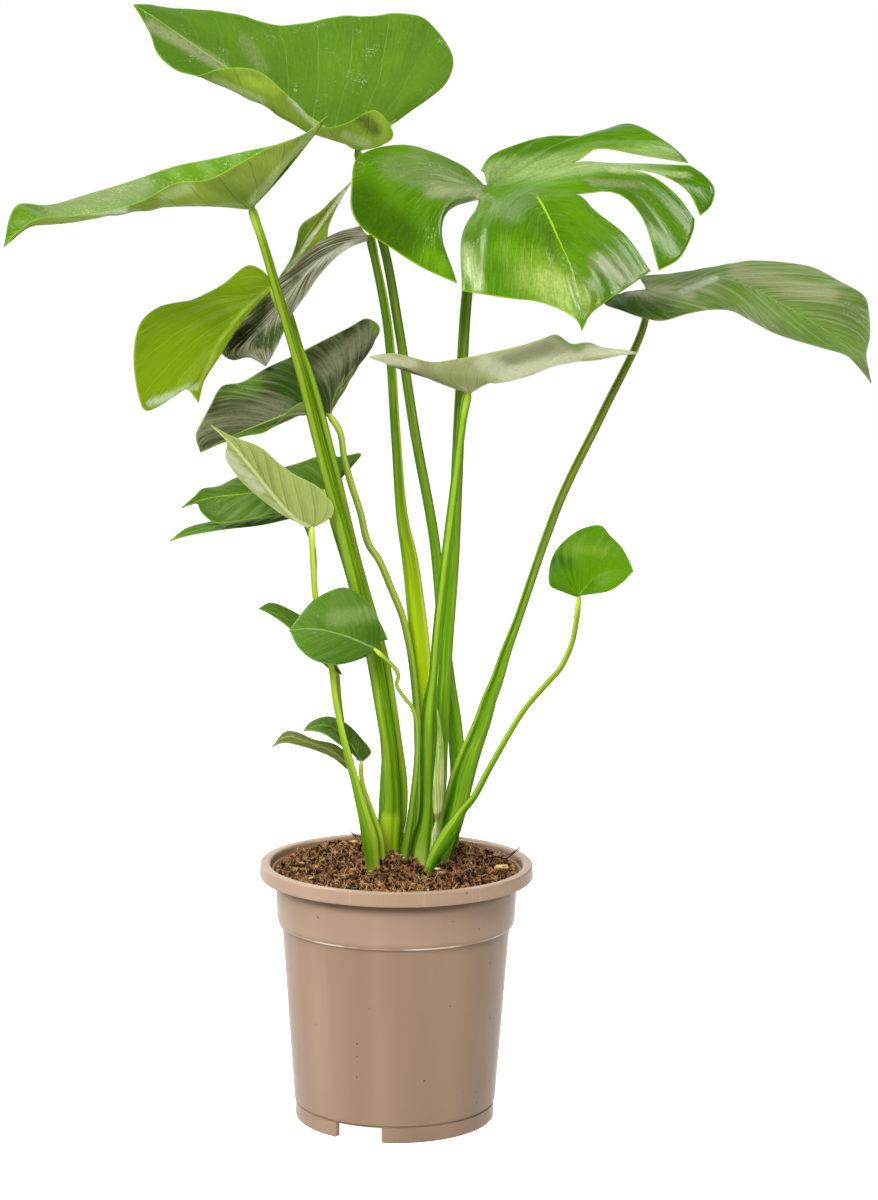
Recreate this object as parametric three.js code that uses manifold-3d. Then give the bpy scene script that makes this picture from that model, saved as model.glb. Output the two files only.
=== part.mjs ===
// A potted monstera: a plastic nursery pot, its soil, and seventeen leaves on stalks of their own.
// Millimetres, +Z up, +X to the right and +Y away from the front of the plant.
import * as THREE from 'three';
import { mergeVertices } from 'three/addons/utils/BufferGeometryUtils.js';
import Module from 'manifold-3d';

const wasm = await Module();
wasm.setup();

// driving dimensions of the pot
const RIM_RADIUS = 95;
const POT_HEIGHT = 180;
const RIM_DEPTH = 9.5;
const RIM_CORNER = 1.5;
const RIM_TOP_WIDTH = 6;
const RIM_BASE_WIDTH = 8;
const NECK_RADIUS = 84.5;
const NECK_LIP = 4;
const STEP_HEIGHT = 137;
const STEP_TOP = 142;
const STEP_WIDTH = 2.6;
const BODY_TOP_RADIUS = 79.3;
const BODY_BASE_RADIUS = 70.2;
const FOOT_HEIGHT = 11;
const FOOT_INSET = 0.7;
const FOOT_WIDTH = 3.5;
const WALL = 1.6;
const CORNER = 1;
const BASE_PLATE = 2;
const POT_SIDES = 64;

// three notches in the foot ring, the first a little left of the front
const NOTCHES = 3;
const NOTCH_WIDTH = 33;
const NOTCH_HEIGHT = 7.5;
const FIRST_NOTCH = THREE.MathUtils.degToRad(-111);

// drainage holes through the base plate
const DRAINS = 6;
const DRAIN_RADIUS = 5;
const DRAIN_CIRCLE = 46;
const DRAIN_SIDES = 16;

// soil
const SOIL_LEVEL = 174;
const SOIL_RISE = 4.5;
const SOIL_EDGE_DROP = 1.5;
const SOIL_RADIUS = 84;
const SOIL_GAP = 0.35;
const SOIL_RINGS = 7;
const SOIL_SIDES = 44;
const MOUND_HEIGHT = 11;
const MOUND_WIDTH = 15;
const MOUND_CENTRE = new THREE.Vector2(2, 4);
const HOLE_CLEARANCE = 0.4;

// blades and stalks
const BLADE_THICKNESS = 0.8;
const BLADE_ROWS = 7;
const PLAIN_ROWS = 4;
const STALK_SIDES = 8;
const STALK_ROOT = 24;
const STALK_STEP = 30;
const STALK_SHORT = 1.6;
const STALK_END_TAPER = 6;
const STALK_END_RADIUS = 0.9;

// colours; a leaf that isn't the usual green has its own in the list below
const POT_COLOUR = 0xa58c76;
const SOIL_COLOUR = 0x3a281d;
const STALK_COLOUR = 0x84a82c;
const SHEATH_COLOUR = 0xc3c88f;
const LEAF_COLOUR = 0x4d8a2b;

// Every point of the plant is listed as it looks from the front: millimetres to the right of the pot's
// axis and up from the floor, as they appear at the axis, and millimetres behind the axis.
const EYE_DISTANCE = 1940;
const EYE_HEIGHT = 626;

function seen([right, up, behind]) {
  const scale = (EYE_DISTANCE + behind) / EYE_DISTANCE;
  return new THREE.Vector3(right * scale, behind, EYE_HEIGHT + (up - EYE_HEIGHT) * scale);
}

// Each leaf has a midrib from its junction to its tip, and two sides. A side is a list of lobes, and a
// lobe a list of ribs from the midrib to the margin: how far along the midrib the rib starts (0 to 1),
// where it ends (right, up, behind), and how far its middle stands off the straight line towards the
// upper face, or else the points that it runs through. Slots open between one lobe and the
// next, from the given share of the rib outwards. A stalk runs down from the junction, with half its
// width at each point, and half its depth where that differs.
const LEAVES = [
  {
    name: 'top',
    midrib: [[-30, 668, 50], [-69, 694, 45], [-119, 723, 40], [-162, 752, 35], [-180, 763, 32]],
    left: [[
      [0, -24, 675, 45, 0], [0, -9, 674, 38, -2], [0, -6, 680, 34, -3], [0, -18, 695, 28, -5],
      [0.04, -38, 686, 23, -5], [0.12, -54, 684, 19, -6], [0.22, -74, 702, 14, -12],
      [0.34, -97, 720, 12, -14], [0.46, -120, 722, 12, -11], [0.58, -138, 717, 16, -6],
      [0.7, -152, 720, 20, -2], [0.82, -164, 731, 24, 0], [0.92, -170, 746, 28, 0],
      [1, -180, 763, 32, 0],
    ]],
    right: [[
      [0, -22, 678, 54, 0], [0, -8, 689, 62, 2], [0, 10, 701, 72, 3], [0, 28, 712, 82, 4],
      [0, 34, 728, 90, 5], [0, 26, 744, 98, 6], [0.02, 12, 757, 104, 6], [0.06, -8, 759, 106, 6],
      [0.12, -23, 757, 102, 6], [0.18, -42, 757, 100, 5], [0.28, -66, 752, 94, 4],
      [0.36, -81, 750, 90, 4], [0.45, -97, 753, 86, 4], [0.56, -115, 758, 80, 3],
      [0.76, -151, 761, 62, 2], [0.9, -170, 763, 46, 1], [1, -180, 763, 32, 0],
    ]],
    stalk: [
      [-30, 668, 50, 2.4], [-23, 636, 51, 2.8], [-12, 605, 52, 3.1], [-1, 548, 52, 3.3],
      [10, 480, 52, 3.5], [24, 406, 55, 3.7], [31, 340, 57, 4.2], [35, 308, 57, 4.6],
      [39, 280, 57, 5.2], [41, 259, 56, 5.6], [42, 238, 54, 5.6], [37, 186, 52, 5.4],
    ],
  },
  {
    name: 'left',
    midrib: [
      [-101, 629, 0], [-124, 631, -4], [-163, 630, -12], [-193, 625, -18], [-240, 616, -22],
      [-254, 616, -24], [-268, 602, -24],
    ],
    left: [[
      [0, -97, 634, -3, 0], [0, -89, 645, -8, -1], [0, -74, 660, -12, -2], [0, -58, 679, -14, -2],
      [0, -50, 691, -14, -2], [0, -66, 679, -22, -5], [0, -91, 669, -30, -7],
      [0.03, -111, 658, -36, -8], [0.14, -130, 648, -40, -7], [0.27, -153, 645, -42, -6],
      [0.4, -173, 634, -42, -4], [0.53, -193, 627, -38, -2], [0.68, -220, 623, -32, -1],
      [0.85, -247, 620, -28, 0], [1, -268, 602, -24, 0],
    ]],
    right: [[
      [0, -94, 640, 6, 0], [0, -76, 664, 20, -2], [0, -68, 675, 30, -4], [0.02, -91, 670, 44, -6],
      [0.12, -127, 662, 50, -6], [0.22, -151, 657, 50, -6], [0.38, -181, 647, 44, -4],
      [0.55, -212, 637, 30, -3], [0.72, -238, 630, 12, -2], [0.86, -258, 630, -6, 0],
      [0.95, -264, 621, -18, 0], [1, -268, 602, -24, 0],
    ]],
    stalk: [
      [-101, 629, 0, 2.6], [-93, 605, -2, 3], [-82, 568, -3, 3.3], [-68, 521, -4, 3.6],
      [-51, 456, -4, 4.2], [-33, 391, -2, 4.9], [-16.5, 322, 4, 5.3], [-11.6, 294, 7, 5.2],
      [-7, 266, 10, 5.2], [-4.6, 238, 13, 6], [-3.6, 223, 14, 5.8], [-4.6, 209, 15, 7, 5.8],
      [-5, 195, 16, 6.4, 5.6], [-5, 178, 17, 6],
    ],
  },
  {
    name: 'split',
    color: 0x42881f,
    midrib: [
      [58, 642, 45], [72, 643, 30], [86, 642, 12], [98, 625, -14], [108, 604, -40], [117, 587, -62],
      [123, 549, -88],
    ],
    left: [
      [
        [0, 53, 656, 56, 0], [0, 59, 665, 64, 2], [0, 76, 673, 78, 3], [0, 98, 679, 90, 3],
        [0, 127, 680, 98, 5], [0, 152, 688, 104, 8], [0, 176, 677, 92, [[118, 674, 74]]],
        [0, 188, 668, 78, [[118, 669, 66], [146, 675, 76]]],
        [0.02, 193, 662, 70, [[116, 662.5, 57], [131, 671, 66], [160, 667, 70]]],
      ],
      [
        [0.05, 194, 660.5, 66, [[116, 661, 55], [150, 661.5, 62]]],
        [0.07, 204, 654, 62, [[118, 660, 50], [152, 661, 58]]],
        [0.09, 211, 645, 54, [[122, 659, 46], [158, 659, 54]]],
        [0.11, 209, 634, 46, [[126, 658.5, 42], [164, 657, 50], [194, 647, 49]]],
        [0.12, 202, 627, 38, [[130, 658, 38], [167, 656, 45], [192, 644, 44]]],
      ],
      [
        [0.15, 198, 624.5, 32, [[130, 657, 33], [165, 654.6, 42], [186, 640, 38]]],
        [0.17, 197, 616, 22, [[128, 653, 28], [160, 648, 34]]],
        [0.2, 188, 598, 2, [[124, 647, 20], [156, 638, 21]]],
        [0.22, 174.5, 590, -10, [[118, 642, 12], [146, 641, 14], [162, 626, 6]]],
      ],
      [
        [0.26, 169, 589.5, -16, [[116, 640, 10], [134, 627, 2], [152, 613, -6]]],
        [0.5, 156, 580, -34, 5], [0.68, 140, 569, -58, 4],
        [0.86, 128, 559, -78, 2], [1, 123, 549, -88, 0],
      ],
    ],
    leftSlots: [3 / 7, 4 / 7, 2 / 7],
    right: [
      [
        [0, 50, 650, 46, 0], [0, 42, 656, 50, 2], [0, 25, 666, 54, 4], [0, 4, 672, 50, 6],
        [0, -20, 669, 38, 8], [0, -31, 662, 26, 10], [0, -34, 645, 8, 12], [0, -34, 629, -6, 14],
        [0, -27, 617, -18, 15], [0, -8, 604, -32, 16], [0, 13, 591, -44, 16],
        [0, 38, 580, -58, [[27, 623, 0]]],
      ],
      [
        [0.03, 41, 575, -60, [[42, 616, -8]]], [0.18, 55, 573, -68, 16], [0.36, 76, 570, -76, 12],
        [0.52, 93, 568, -80, 7], [0.7, 110, 562, -84, 4], [0.86, 119, 556, -87, 2],
        [1, 123, 549, -88, 0],
      ],
    ],
    rightSlots: [1 / 7],
    stalk: [
      [58, 642, 45, 3], [50, 609, 54, 3.6], [45, 575, 58, 3.8], [41, 501, 56, 4], [37, 391, 49, 4.5],
      [33.4, 336, 46, 4.7], [31.6, 300, 44, 4.8], [30.5, 262, 41, 4.6], [29.5, 230, 38, 4.5],
      [26, 208, 36, 4.4], [23, 182, 34, 4.4],
    ],
  },
  {
    name: 'right',
    color: 0x5c8146,
    midrib: [
      [167, 577, 55], [184, 579, 52], [210, 586, 50], [232, 581, 44], [248, 573, 38], [272, 560, 28],
      [297, 545, 16], [314, 534, 8], [321, 515, 0],
    ],
    left: [[
      [0, 163, 583, 62, 0], [0, 162, 586, 74, 1], [0, 183, 588, 88, 2], [0.06, 207, 592, 94, 2],
      [0.14, 225, 595, 94, 2], [0.2, 240, 597, 90, 2], [0.3, 261, 596, 84, 2], [0.4, 279, 593, 76, 2],
      [0.5, 297, 584, 62, 2], [0.62, 315, 573, 42, 2], [0.7, 318, 562, 32, 1], [0.82, 319, 546, 18, 0],
      [0.9, 317, 534, 8, 0], [1, 321, 515, 0, 0],
    ]],
    right: [[
      [0, 160, 573, 44, 0], [0, 143, 572, 32, 1], [0, 138, 567, 20, 2], [0, 149, 563, 12, 3],
      [0, 164, 558, 8, 3], [0.03, 177, 556, 8, 3], [0.1, 195, 561, 8, 3], [0.18, 213, 564, 10, 3],
      [0.25, 225, 563, 12, 2], [0.34, 237, 557, 14, 2], [0.45, 255, 548, 16, 1], [0.62, 285, 539, 8, 1],
      [0.78, 303, 534, 4, 0], [0.87, 308, 530, 3, 0], [1, 321, 515, 0, 0],
    ]],
    stalk: [
      [167, 577, 55, 2.4], [165, 553, 52, 2.6], [138, 493, 49, 2.9], [110, 433, 46, 3.1],
      [81, 347, 40, 3.2], [74.6, 329, 38, 3.8], [68.2, 308, 35, 4.6], [63, 294, 33, 5.3],
      [59, 280, 31, 6, 5.4], [54, 266, 29, 6.6, 5.6],
      [49, 252, 26, 7.6, 6], [44.8, 238, 24, 8.4, 6], [41.4, 223, 22, 8.3, 6], [38, 209, 20, 8.3, 6],
      [35, 190, 19, 7.4, 6], [34, 177, 18, 7, 6],
    ],
  },
  {
    name: 'middle',
    color: 0x9aa67e,
    midrib: [
      [46, 506, -12], [60, 514, -8], [82, 519, -4], [99, 526, 0], [125, 532, 0], [161, 534, -8],
    ],
    left: [[
      [0, 38, 514, -4, 0], [0, 20, 522, 12, 1], [0, 28, 525, 30, 2], [0, 48, 518, 38, 2],
      [0.08, 66, 513, 37, 2], [0.22, 85, 517, 34, 2], [0.4, 106, 525, 31, 2], [0.68, 137, 530, 20, 1],
      [1, 161, 534, -8, 0],
    ]],
    right: [[
      [0, 39, 513, -16, 0], [0, 15, 522, -26, 1], [0, -5, 525, -34, 1], [0, -21, 530, -42, 1],
      [0, -5, 532, -50, 2], [0, 20, 527, -58, 3], [0.05, 34, 528, -62, 3], [0.12, 60, 533, -68, 3],
      [0.22, 80, 537, -70, 3], [0.32, 94, 542, -70, 3], [0.42, 105, 546, -66, 2],
      [0.52, 116, 540, -58, 2], [0.62, 128, 541, -46, 1], [0.75, 139, 537, -34, 1],
      [0.88, 152, 536, -20, 0], [1, 161, 534, -8, 0],
    ]],
    stalk: [
      [46, 506, -12, 2.7], [43, 490, -12, 2.9], [38, 446, -10, 3], [30, 377, -5, 3],
      [26, 336, -1, 3], [24, 308, 2, 3.1], [22.2, 294, 4, 4.6], [21.2, 280, 6, 5.3],
      [21, 252, 9, 5.4], [20.7, 223, 11, 4.9], [20, 209, 12, 5.6], [17.8, 196, 12, 7.8, 6],
      [16.4, 186, 12, 8.6, 6.4], [16.5, 172, 12, 7.4, 6],
    ],
  },
  {
    name: 'yellow',
    color: 0x86ab20,
    midrib: [
      [-87, 575, 14], [-99, 563, 8], [-112, 546, 2], [-122, 530, -2], [-134, 511, -4], [-137, 498, -6],
    ],
    left: [[
      [0, -90, 573, 22, 0], [0, -98, 569, 30, 1], [0.12, -113, 559, 38, 2], [0.34, -128, 543, 38, 2],
      [0.6, -138, 526, 28, 2], [0.84, -139, 509, 10, 1], [1, -137, 498, -6, 0],
    ]],
    right: [[
      [0, -88, 581, 15, 0], [0, -93, 587, 16, 0], [0, -103, 591, 16, 1], [0, -122, 577, 12, 2],
      [0.02, -145, 566, 8, 3], [0.05, -164, 562, 2, 3], [0.1, -176, 552, -2, 3],
      [0.2, -181, 530, -8, 3], [0.36, -178, 503, -13, 2], [0.48, -173, 492, -14, 1],
      [0.68, -156, 500, -12, 1], [0.82, -146, 507, -9, 0], [1, -137, 498, -6, 0],
    ]],
    stalk: [
      [-87, 575, 14, 2.4], [-75, 548, 10, 2.8], [-63, 521, 7, 3], [-46, 460, 7, 3.2], [-29, 391, 10, 3.3],
      [-9.4, 322, 14, 3.3], [-4.6, 294, 17, 3.4], [-.4, 266, 20, 3.4], [3.4, 238, 23, 3.6],
      [3.6, 216, 24, 3.6], [.4, 195, 26, 3.6], [-1, 181, 27, 3.6],
    ],
  },
  {
    name: 'strap',
    color: 0x55803a,
    midrib: [
      [-21, 611, 42], [-48, 600, 44], [-68, 581, 46], [-87, 555, 42], [-99, 538, 34], [-91, 523, 30],
    ],
    left: [[
      [0, -22, 608, 38, 0], [0.08, -35, 603, 36, 1], [0.2, -45, 596, 35, 2], [0.34, -57, 583, 34, 2],
      [0.44, -62, 575, 34, 2], [0.62, -75, 556, 34, 2], [0.74, -79, 547, 32, 1],
      [0.9, -85, 534, 30, 0], [1, -91, 523, 30, 0],
    ]],
    right: [[
      [0, -28, 618, 46, 0], [0.05, -45, 613, 50, 1], [0.16, -62, 602, 53, 1], [0.3, -78, 586, 55, 0],
      [0.42, -94, 573, 55, -2], [0.54, -106, 556, 52, -5], [0.66, -117, 543, 45, -6],
      [0.76, -122, 533, 36, -5], [0.85, -114, 527, 28, -2], [0.93, -103, 529, 27, 0],
      [1, -91, 523, 30, 0],
    ]],
    stalk: [
      [-21, 611, 42, 2.8], [-9, 552, 44, 3.2], [-3, 480, 46, 3.4], [2, 421, 46, 4.2], [7.6, 391, 45, 5.7],
      [13, 349, 43, 6.7, 5.6], [15.2, 329, 42, 6.9, 5.6], [17.2, 294, 41, 6.6, 5.6], [18, 262, 40, 6.2],
      [18.4, 224, 40, 5.8], [15.4, 202, 42, 5.8], [14, 183, 44, 5.6],
    ],
  },
  {
    name: 'upright',
    midrib: [[-83, 579, 62], [-68, 605, 60], [-55, 625, 62], [-34, 647, 62]],
    left: [[
      [0, -82, 584, 60, 0], [0.1, -76, 592, 57, 1], [0.25, -71, 606, 54, 2], [0.42, -68, 618, 52, 2],
      [0.66, -54, 628, 55, 1], [0.84, -47, 635, 59, 0], [1, -34, 647, 62, 0],
    ]],
    right: [[
      [0, -75, 584, 68, 0], [0.25, -58, 599, 72, 2], [0.45, -50, 610, 72, 2], [0.6, -49, 617, 70, 1],
      [0.82, -42, 633, 66, 0], [1, -34, 647, 62, 0],
    ]],
    stalk: [
      [-83, 579, 62, 2], [-74, 555, 60, 2.2], [-51, 473, 57, 2.4], [-32, 405, 56, 2.6],
      [-16, 322, 56, 2.8], [-5, 231, 57, 3.2], [-8, 184, 58, 3.4],
    ],
  },
  {
    name: 'dark',
    color: 0x3c6c30,
    midrib: [[-48, 490, 18], [-68, 493, 20], [-88, 486, 15], [-112, 476, 8], [-136, 464, 0]],
    left: [[
      [0, -57, 496, 16, -2], [0.06, -66, 499, 13, -4], [0.2, -75, 494, 8, -4], [0.34, -84, 484, 3, -2],
      [0.5, -92, 478, 0, 0], [0.68, -106, 475, -2, 0], [0.85, -126, 468, -2, 0],
      [1, -136, 464, 0, 0],
    ]],
    right: [[
      [0, -46, 499, 20, 0], [0, -41, 511, 24, 1], [0, -32, 527, 30, 2], [0, -14, 549, 35, 2],
      [0, -23, 556, 40, 3], [0, -35, 550, 42, 3], [0.03, -56, 539, 43, 3], [0.1, -73, 530, 42, 3],
      [0.2, -92, 521, 39, 3], [0.32, -108, 512, 35, 3], [0.42, -121, 509, 30, 2],
      [0.55, -129, 496, 20, 1], [0.68, -134, 487, 12, 1], [0.85, -139, 475, 4, 0],
      [1, -136, 464, 0, 0],
    ]],
    stalk: [
      [-48, 490, 18, 2], [-41, 479, 17, 2.1], [-38, 462, 16, 2.3], [-33, 443, 18, 2.4],
      [-27, 425, 20, 2.4], [-21, 402, 23, 2.5], [-13.7, 391, 25, 2.5], [-4.6, 370, 27, 2.5],
      [2.4, 353, 28, 2.5], [6, 339, 29, 2.5], [8.6, 326, 29, 2.5], [12.5, 294, 29, 2.6],
      [14.5, 252, 28, 2.8], [14, 216, 27, 3], [11, 181, 27, 3.2],
    ],
  },
  {
    name: 'pale',
    color: 0xa8bd8a,
    midrib: [
      [-60, 413, -20], [-70, 418, -22], [-87, 436, -28], [-101, 454, -32], [-115, 470, -32],
      [-129, 483, -28],
    ],
    left: [[
      [0, -56, 414, -21, 0], [0, -46, 421, -16, 0], [0, -45, 428, -14, 1], [0, -49, 434, -13, 2],
      [0.06, -57, 442, -14, 2], [0.22, -71, 449, -18, 2], [0.38, -82, 457, -21, 2],
      [0.58, -95, 468, -25, 1], [0.76, -108, 473, -29, 0], [0.88, -116, 476, -31, 0],
      [1, -129, 483, -28, 0],
    ]],
    right: [[
      [0, -64, 415, -18, 0], [0.12, -75, 419, -14, 1], [0.28, -87, 427, -14, 1],
      [0.46, -101, 438, -18, 1], [0.6, -110, 447, -22, 1], [0.78, -119, 462, -28, 0],
      [0.88, -117, 471, -31, 0], [1, -129, 483, -28, 0],
    ]],
    stalk: [
      [-60, 413, -20, 1.8], [-59, 391, -14, 2], [-57, 364, -6, 2.1], [-52, 335, -5, 2.2],
      [-46.5, 319, -9, 2.2], [-43, 294, -13, 2.2], [-38.8, 273, -16, 2.2], [-35.3, 259, -17, 2.5],
      [-29.6, 238, -17, 2.9], [-25.7, 223, -16, 3.6], [-21.8, 209, -15, 4.6], [-18.8, 196, -13, 5.7, 5],
      [-17.2, 184, -11, 5.1, 4.6], [-16, 169, -9, 4.4],
    ],
  },
  {
    name: 'green',
    midrib: [[-51, 438, 34], [-75, 440, 32], [-102, 436, 28], [-129, 433, 20], [-149, 426, 10]],
    left: [[
      [0, -48, 430, 26, 0], [0, -61, 421, 14, 1], [0.15, -75, 421, 8, 2], [0.25, -84, 423, 6, 2],
      [0.4, -98, 419, 4, 2], [0.58, -116, 416, 4, 2], [0.7, -127, 416, 6, 1],
      [0.82, -136, 424, 10, 0], [0.9, -138, 429, 12, 0], [1, -149, 426, 10, 0],
    ]],
    right: [[
      [0, -42, 444, 35, 0], [0, -37, 450, 36, 0], [0, -26, 464, 38, 1], [0, -40, 462, 41, 2],
      [0.02, -55, 462, 43, 2], [0.1, -67, 458, 43, 2], [0.22, -81, 454, 43, 2],
      [0.46, -111, 447, 40, 2], [0.62, -123, 441, 33, 1], [0.78, -135, 439, 24, 0],
      [0.87, -139, 435, 18, 0], [1, -149, 426, 10, 0],
    ]],
    stalk: [
      [-51, 438, 34, 1.8], [-45, 415, 31, 2], [-36, 386, 33, 2.2], [-26, 350, 38, 2.4],
      [-12, 294, 42, 2.4], [-8.5, 262, 42, 2.4], [-9.6, 238, 40, 2.4], [-10.4, 216, 38, 2.5],
      [-11, 195, 36, 2.6], [-9, 182, 36, 2.6],
    ],
  },
  {
    name: 'thin',
    midrib: [[-68, 424, 36], [-95, 419, 32], [-124, 414, 26], [-143, 409, 18], [-157, 403, 12]],
    left: [[
      [0, -74, 419, 28, 0], [0.22, -95, 414, 20, 1], [0.52, -120, 411, 14, 1], [0.8, -143, 407, 13, 0],
      [1, -157, 403, 12, 0],
    ]],
    right: [[
      [0, -72, 427, 44, 0], [0.28, -100, 423, 44, 1], [0.55, -128, 417, 36, 1],
      [0.8, -146, 412, 23, 0], [1, -157, 403, 12, 0],
    ]],
    stalk: [
      [-68, 424, 36, 1.6], [-59, 401, 34, 1.7], [-57, 363, 31, 1.7], [-46.5, 319, 28, 1.8],
      [-38.8, 273, 29, 1.8], [-29.6, 238, 30, 1.9], [-22, 209, 31, 2], [-17, 178, 31, 2],
    ],
  },
  {
    name: 'front',
    midrib: [[-16, 329, -22], [-36, 338, -28], [-57, 343, -30], [-75, 342, -28]],
    left: [[
      [0, -21, 324, -27, 0], [0, -32, 320, -36, 1], [0.12, -43, 318, -42, 2], [0.4, -58, 321, -42, 2],
      [0.72, -69, 330, -35, 1], [1, -75, 342, -28, 0],
    ]],
    right: [[
      [0, -7, 336, -20, 0], [0, -10, 343, -17, 1], [0.05, -23, 364, -14, 2], [0.25, -37, 372, -14, 2],
      [0.6, -57, 364, -17, 2], [0.8, -64, 357, -21, 1], [1, -75, 342, -28, 0],
    ]],
    stalk: [
      [-16, 329, -22, 1.4], [-7, 321, -20, 1.4], [-.8, 314, -19, 1.4], [.4, 309.5, -18, 1.4],
      [-1.1, 305, -18, 1.3], [4.2, 296, -17, 1.3], [9.8, 289, -16, 1.4], [12.7, 280, -15, 1.5],
      [13.5, 266, -13, 1.7], [13, 248, -11, 1.9], [11.7, 234, -9, 2], [9.8, 216, -6, 2.2],
      [7.4, 199, -4, 2.5], [5.4, 186, -2, 2.8], [5, 175, 0, 2.8],
    ],
  },
  {
    name: 'hidden',
    midrib: [[-43, 318, 8], [-60, 336, 9], [-78, 350, 11], [-96, 357, 15]],
    left: [[
      [0, -38, 311, 5, 0], [0, -46, 314, 2, 1], [0.1, -54, 321, 1, 1], [0.36, -64, 331, 1, 1],
      [0.64, -76, 344, 4, 1], [0.84, -87, 352, 9, 0], [1, -96, 357, 15, 0],
    ]],
    right: [[
      [0, -40, 326, 13, 0], [0.2, -50, 341, 19, 1], [0.5, -68, 353, 22, 1], [0.8, -88, 361, 19, 0],
      [1, -96, 357, 15, 0],
    ]],
    stalk: [
      [-43, 318, 8, 1.4], [-41.5, 308, 10, 1.5], [-40.2, 294, 14, 1.5], [-38.4, 280, 18, 1.5],
      [-35, 259, 21, 1.6], [-29, 238, 22, 1.7], [-21.5, 207, 21, 1.8], [-17, 177, 20, 2],
    ],
  },
  {
    name: 'upper_small',
    midrib: [[-25, 250, 4], [-35, 266, 2], [-50, 276, 0], [-65, 272, -4]],
    left: [[
      [0, -30, 255, -3, 0], [0.4, -40, 262, -7, 1], [0.7, -52, 270, -8, 1], [1, -65, 272, -4, 0],
    ]],
    right: [[
      [0, -22, 252, 8, 0], [0, -18, 257, 10, 0], [0.2, -24, 266, 12, 1], [0.5, -35, 277, 12, 1],
      [0.75, -48, 282, 8, 1], [0.9, -60, 278, 2, 0], [1, -65, 272, -4, 0],
    ]],
    stalk: [
      [-25, 250, 4, 1.4], [-24.6, 238, 2, 1.5], [-20, 223, -2, 1.6], [-15, 209, -4, 1.8],
      [-11.2, 196, -5, 2], [-9.8, 172, -4, 2.5],
    ],
  },
  {
    name: 'lower_small',
    color: 0x9a9c6c,
    midrib: [[-31, 245, 12], [-46, 257, 10], [-64, 264, 6], [-76, 268, 3], [-87, 260, 0]],
    left: [[
      [0, -30, 251, 15, 0], [0.22, -42, 262, 16, 1], [0.5, -58, 266, 14, 1], [0.75, -70, 271, 9, 0],
      [0.9, -78, 271, 4, 0], [1, -87, 260, 0, 0],
    ]],
    right: [[
      [0, -35, 245, 8, 0], [0.25, -46, 254, 4, 1], [0.6, -66, 261, 1, 1], [0.85, -79, 263, 0, 0],
      [1, -87, 260, 0, 0],
    ]],
    stalk: [
      [-31, 245, 12, 1.4], [-28, 237, 8, 1.5], [-24, 223, 4, 1.6], [-19, 204, 3, 1.8], [-15, 174, 3, 2],
    ],
  },
  {
    name: 'heart',
    midrib: [[124, 366, -2], [134, 380, -4], [148, 385, -10], [161, 385, -18]],
    left: [[
      [0, 119, 370, -3, 0], [0, 111, 371, -5, 0], [0, 104, 374, -6, 1], [0, 103, 384, -1, 1],
      [0, 106, 396, 8, 2], [0, 115, 407, 16, 2], [0.05, 126, 414, 20, 2], [0.2, 138, 416, 18, 2],
      [0.5, 145, 409, 9, 1], [0.76, 153, 401, -2, 1], [0.9, 157, 394, -9, 0],
      [1, 161, 385, -18, 0],
    ]],
    right: [[
      [0, 128, 368, -6, 0], [0.15, 136, 369, -14, 1], [0.42, 145, 371, -20, 1],
      [0.76, 154, 377, -22, 0], [1, 161, 385, -18, 0],
    ]],
    stalk: [
      [124, 366, -2, 1.7], [122.4, 350, -5, 1.9], [119.5, 334, -6, 1.9], [112, 317, -8, 2],
      [103.5, 307, -10, 2], [87, 287, -12, 2],
      [64.2, 247, -14, 2.2], [53.4, 226, -14, 2.4], [46.2, 217, -14, 2.8], [40.4, 207, -14, 3.4],
      [34.9, 198, -14, 3.4], [30, 190, -14, 3.3], [26, 183, -14, 3.2], [21, 169, -14, 3.2],
    ],
  },
];

// a strip of dried sheath that stands curled beside the middle stalk: its left edge, middle and right edge
const SHEATH_EDGES = [
  [[23, 172, 5], [24, 198, 4], [25.5, 215, 3], [25.2, 238, 2], [27.2, 266, 2], [27, 288, 4]],
  [[25.5, 171, 3], [26.5, 198, 2], [28, 215, 1.5], [29, 238, 0.5], [29.5, 266, 1], [27.6, 287, 3.6]],
  [[28, 172, 5], [29, 198, 4], [30.2, 215, 4], [32.4, 238, 4], [31.5, 266, 4], [28.3, 285, 5]],
];
const SHEATH_THICKNESS = 0.7;

// a geometry from points and triangles that share them
function faceted(points, triangles) {
  const geometry = new THREE.BufferGeometry();
  const numbers = points.flatMap((point) => point.toArray());
  geometry.setAttribute('position', new THREE.Float32BufferAttribute(numbers, 3));
  geometry.setIndex(triangles.flat());
  return geometry;
}

function meshOf(name, geometry, color, roughness) {
  geometry.computeVertexNormals();
  const mesh = new THREE.Mesh(geometry, new THREE.MeshStandardMaterial({ color, roughness, metalness: 0 }));
  mesh.name = name;
  return mesh;
}

// between a three.js geometry and a solid that can be cut
function toSolid(geometry) {
  const bare = geometry.clone();
  bare.deleteAttribute('normal');
  bare.deleteAttribute('uv');
  const merged = mergeVertices(bare);
  return new wasm.Manifold(new wasm.Mesh({
    numProp: 3,
    vertProperties: new Float32Array(merged.attributes.position.array),
    triVerts: new Uint32Array(merged.index.array),
  }));
}

function fromSolid(solid) {
  const { vertProperties, triVerts } = solid.getMesh();
  const geometry = new THREE.BufferGeometry();
  geometry.setAttribute('position', new THREE.BufferAttribute(vertProperties.slice(), 3));
  geometry.setIndex([...triVerts]);
  return geometry;
}

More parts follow.
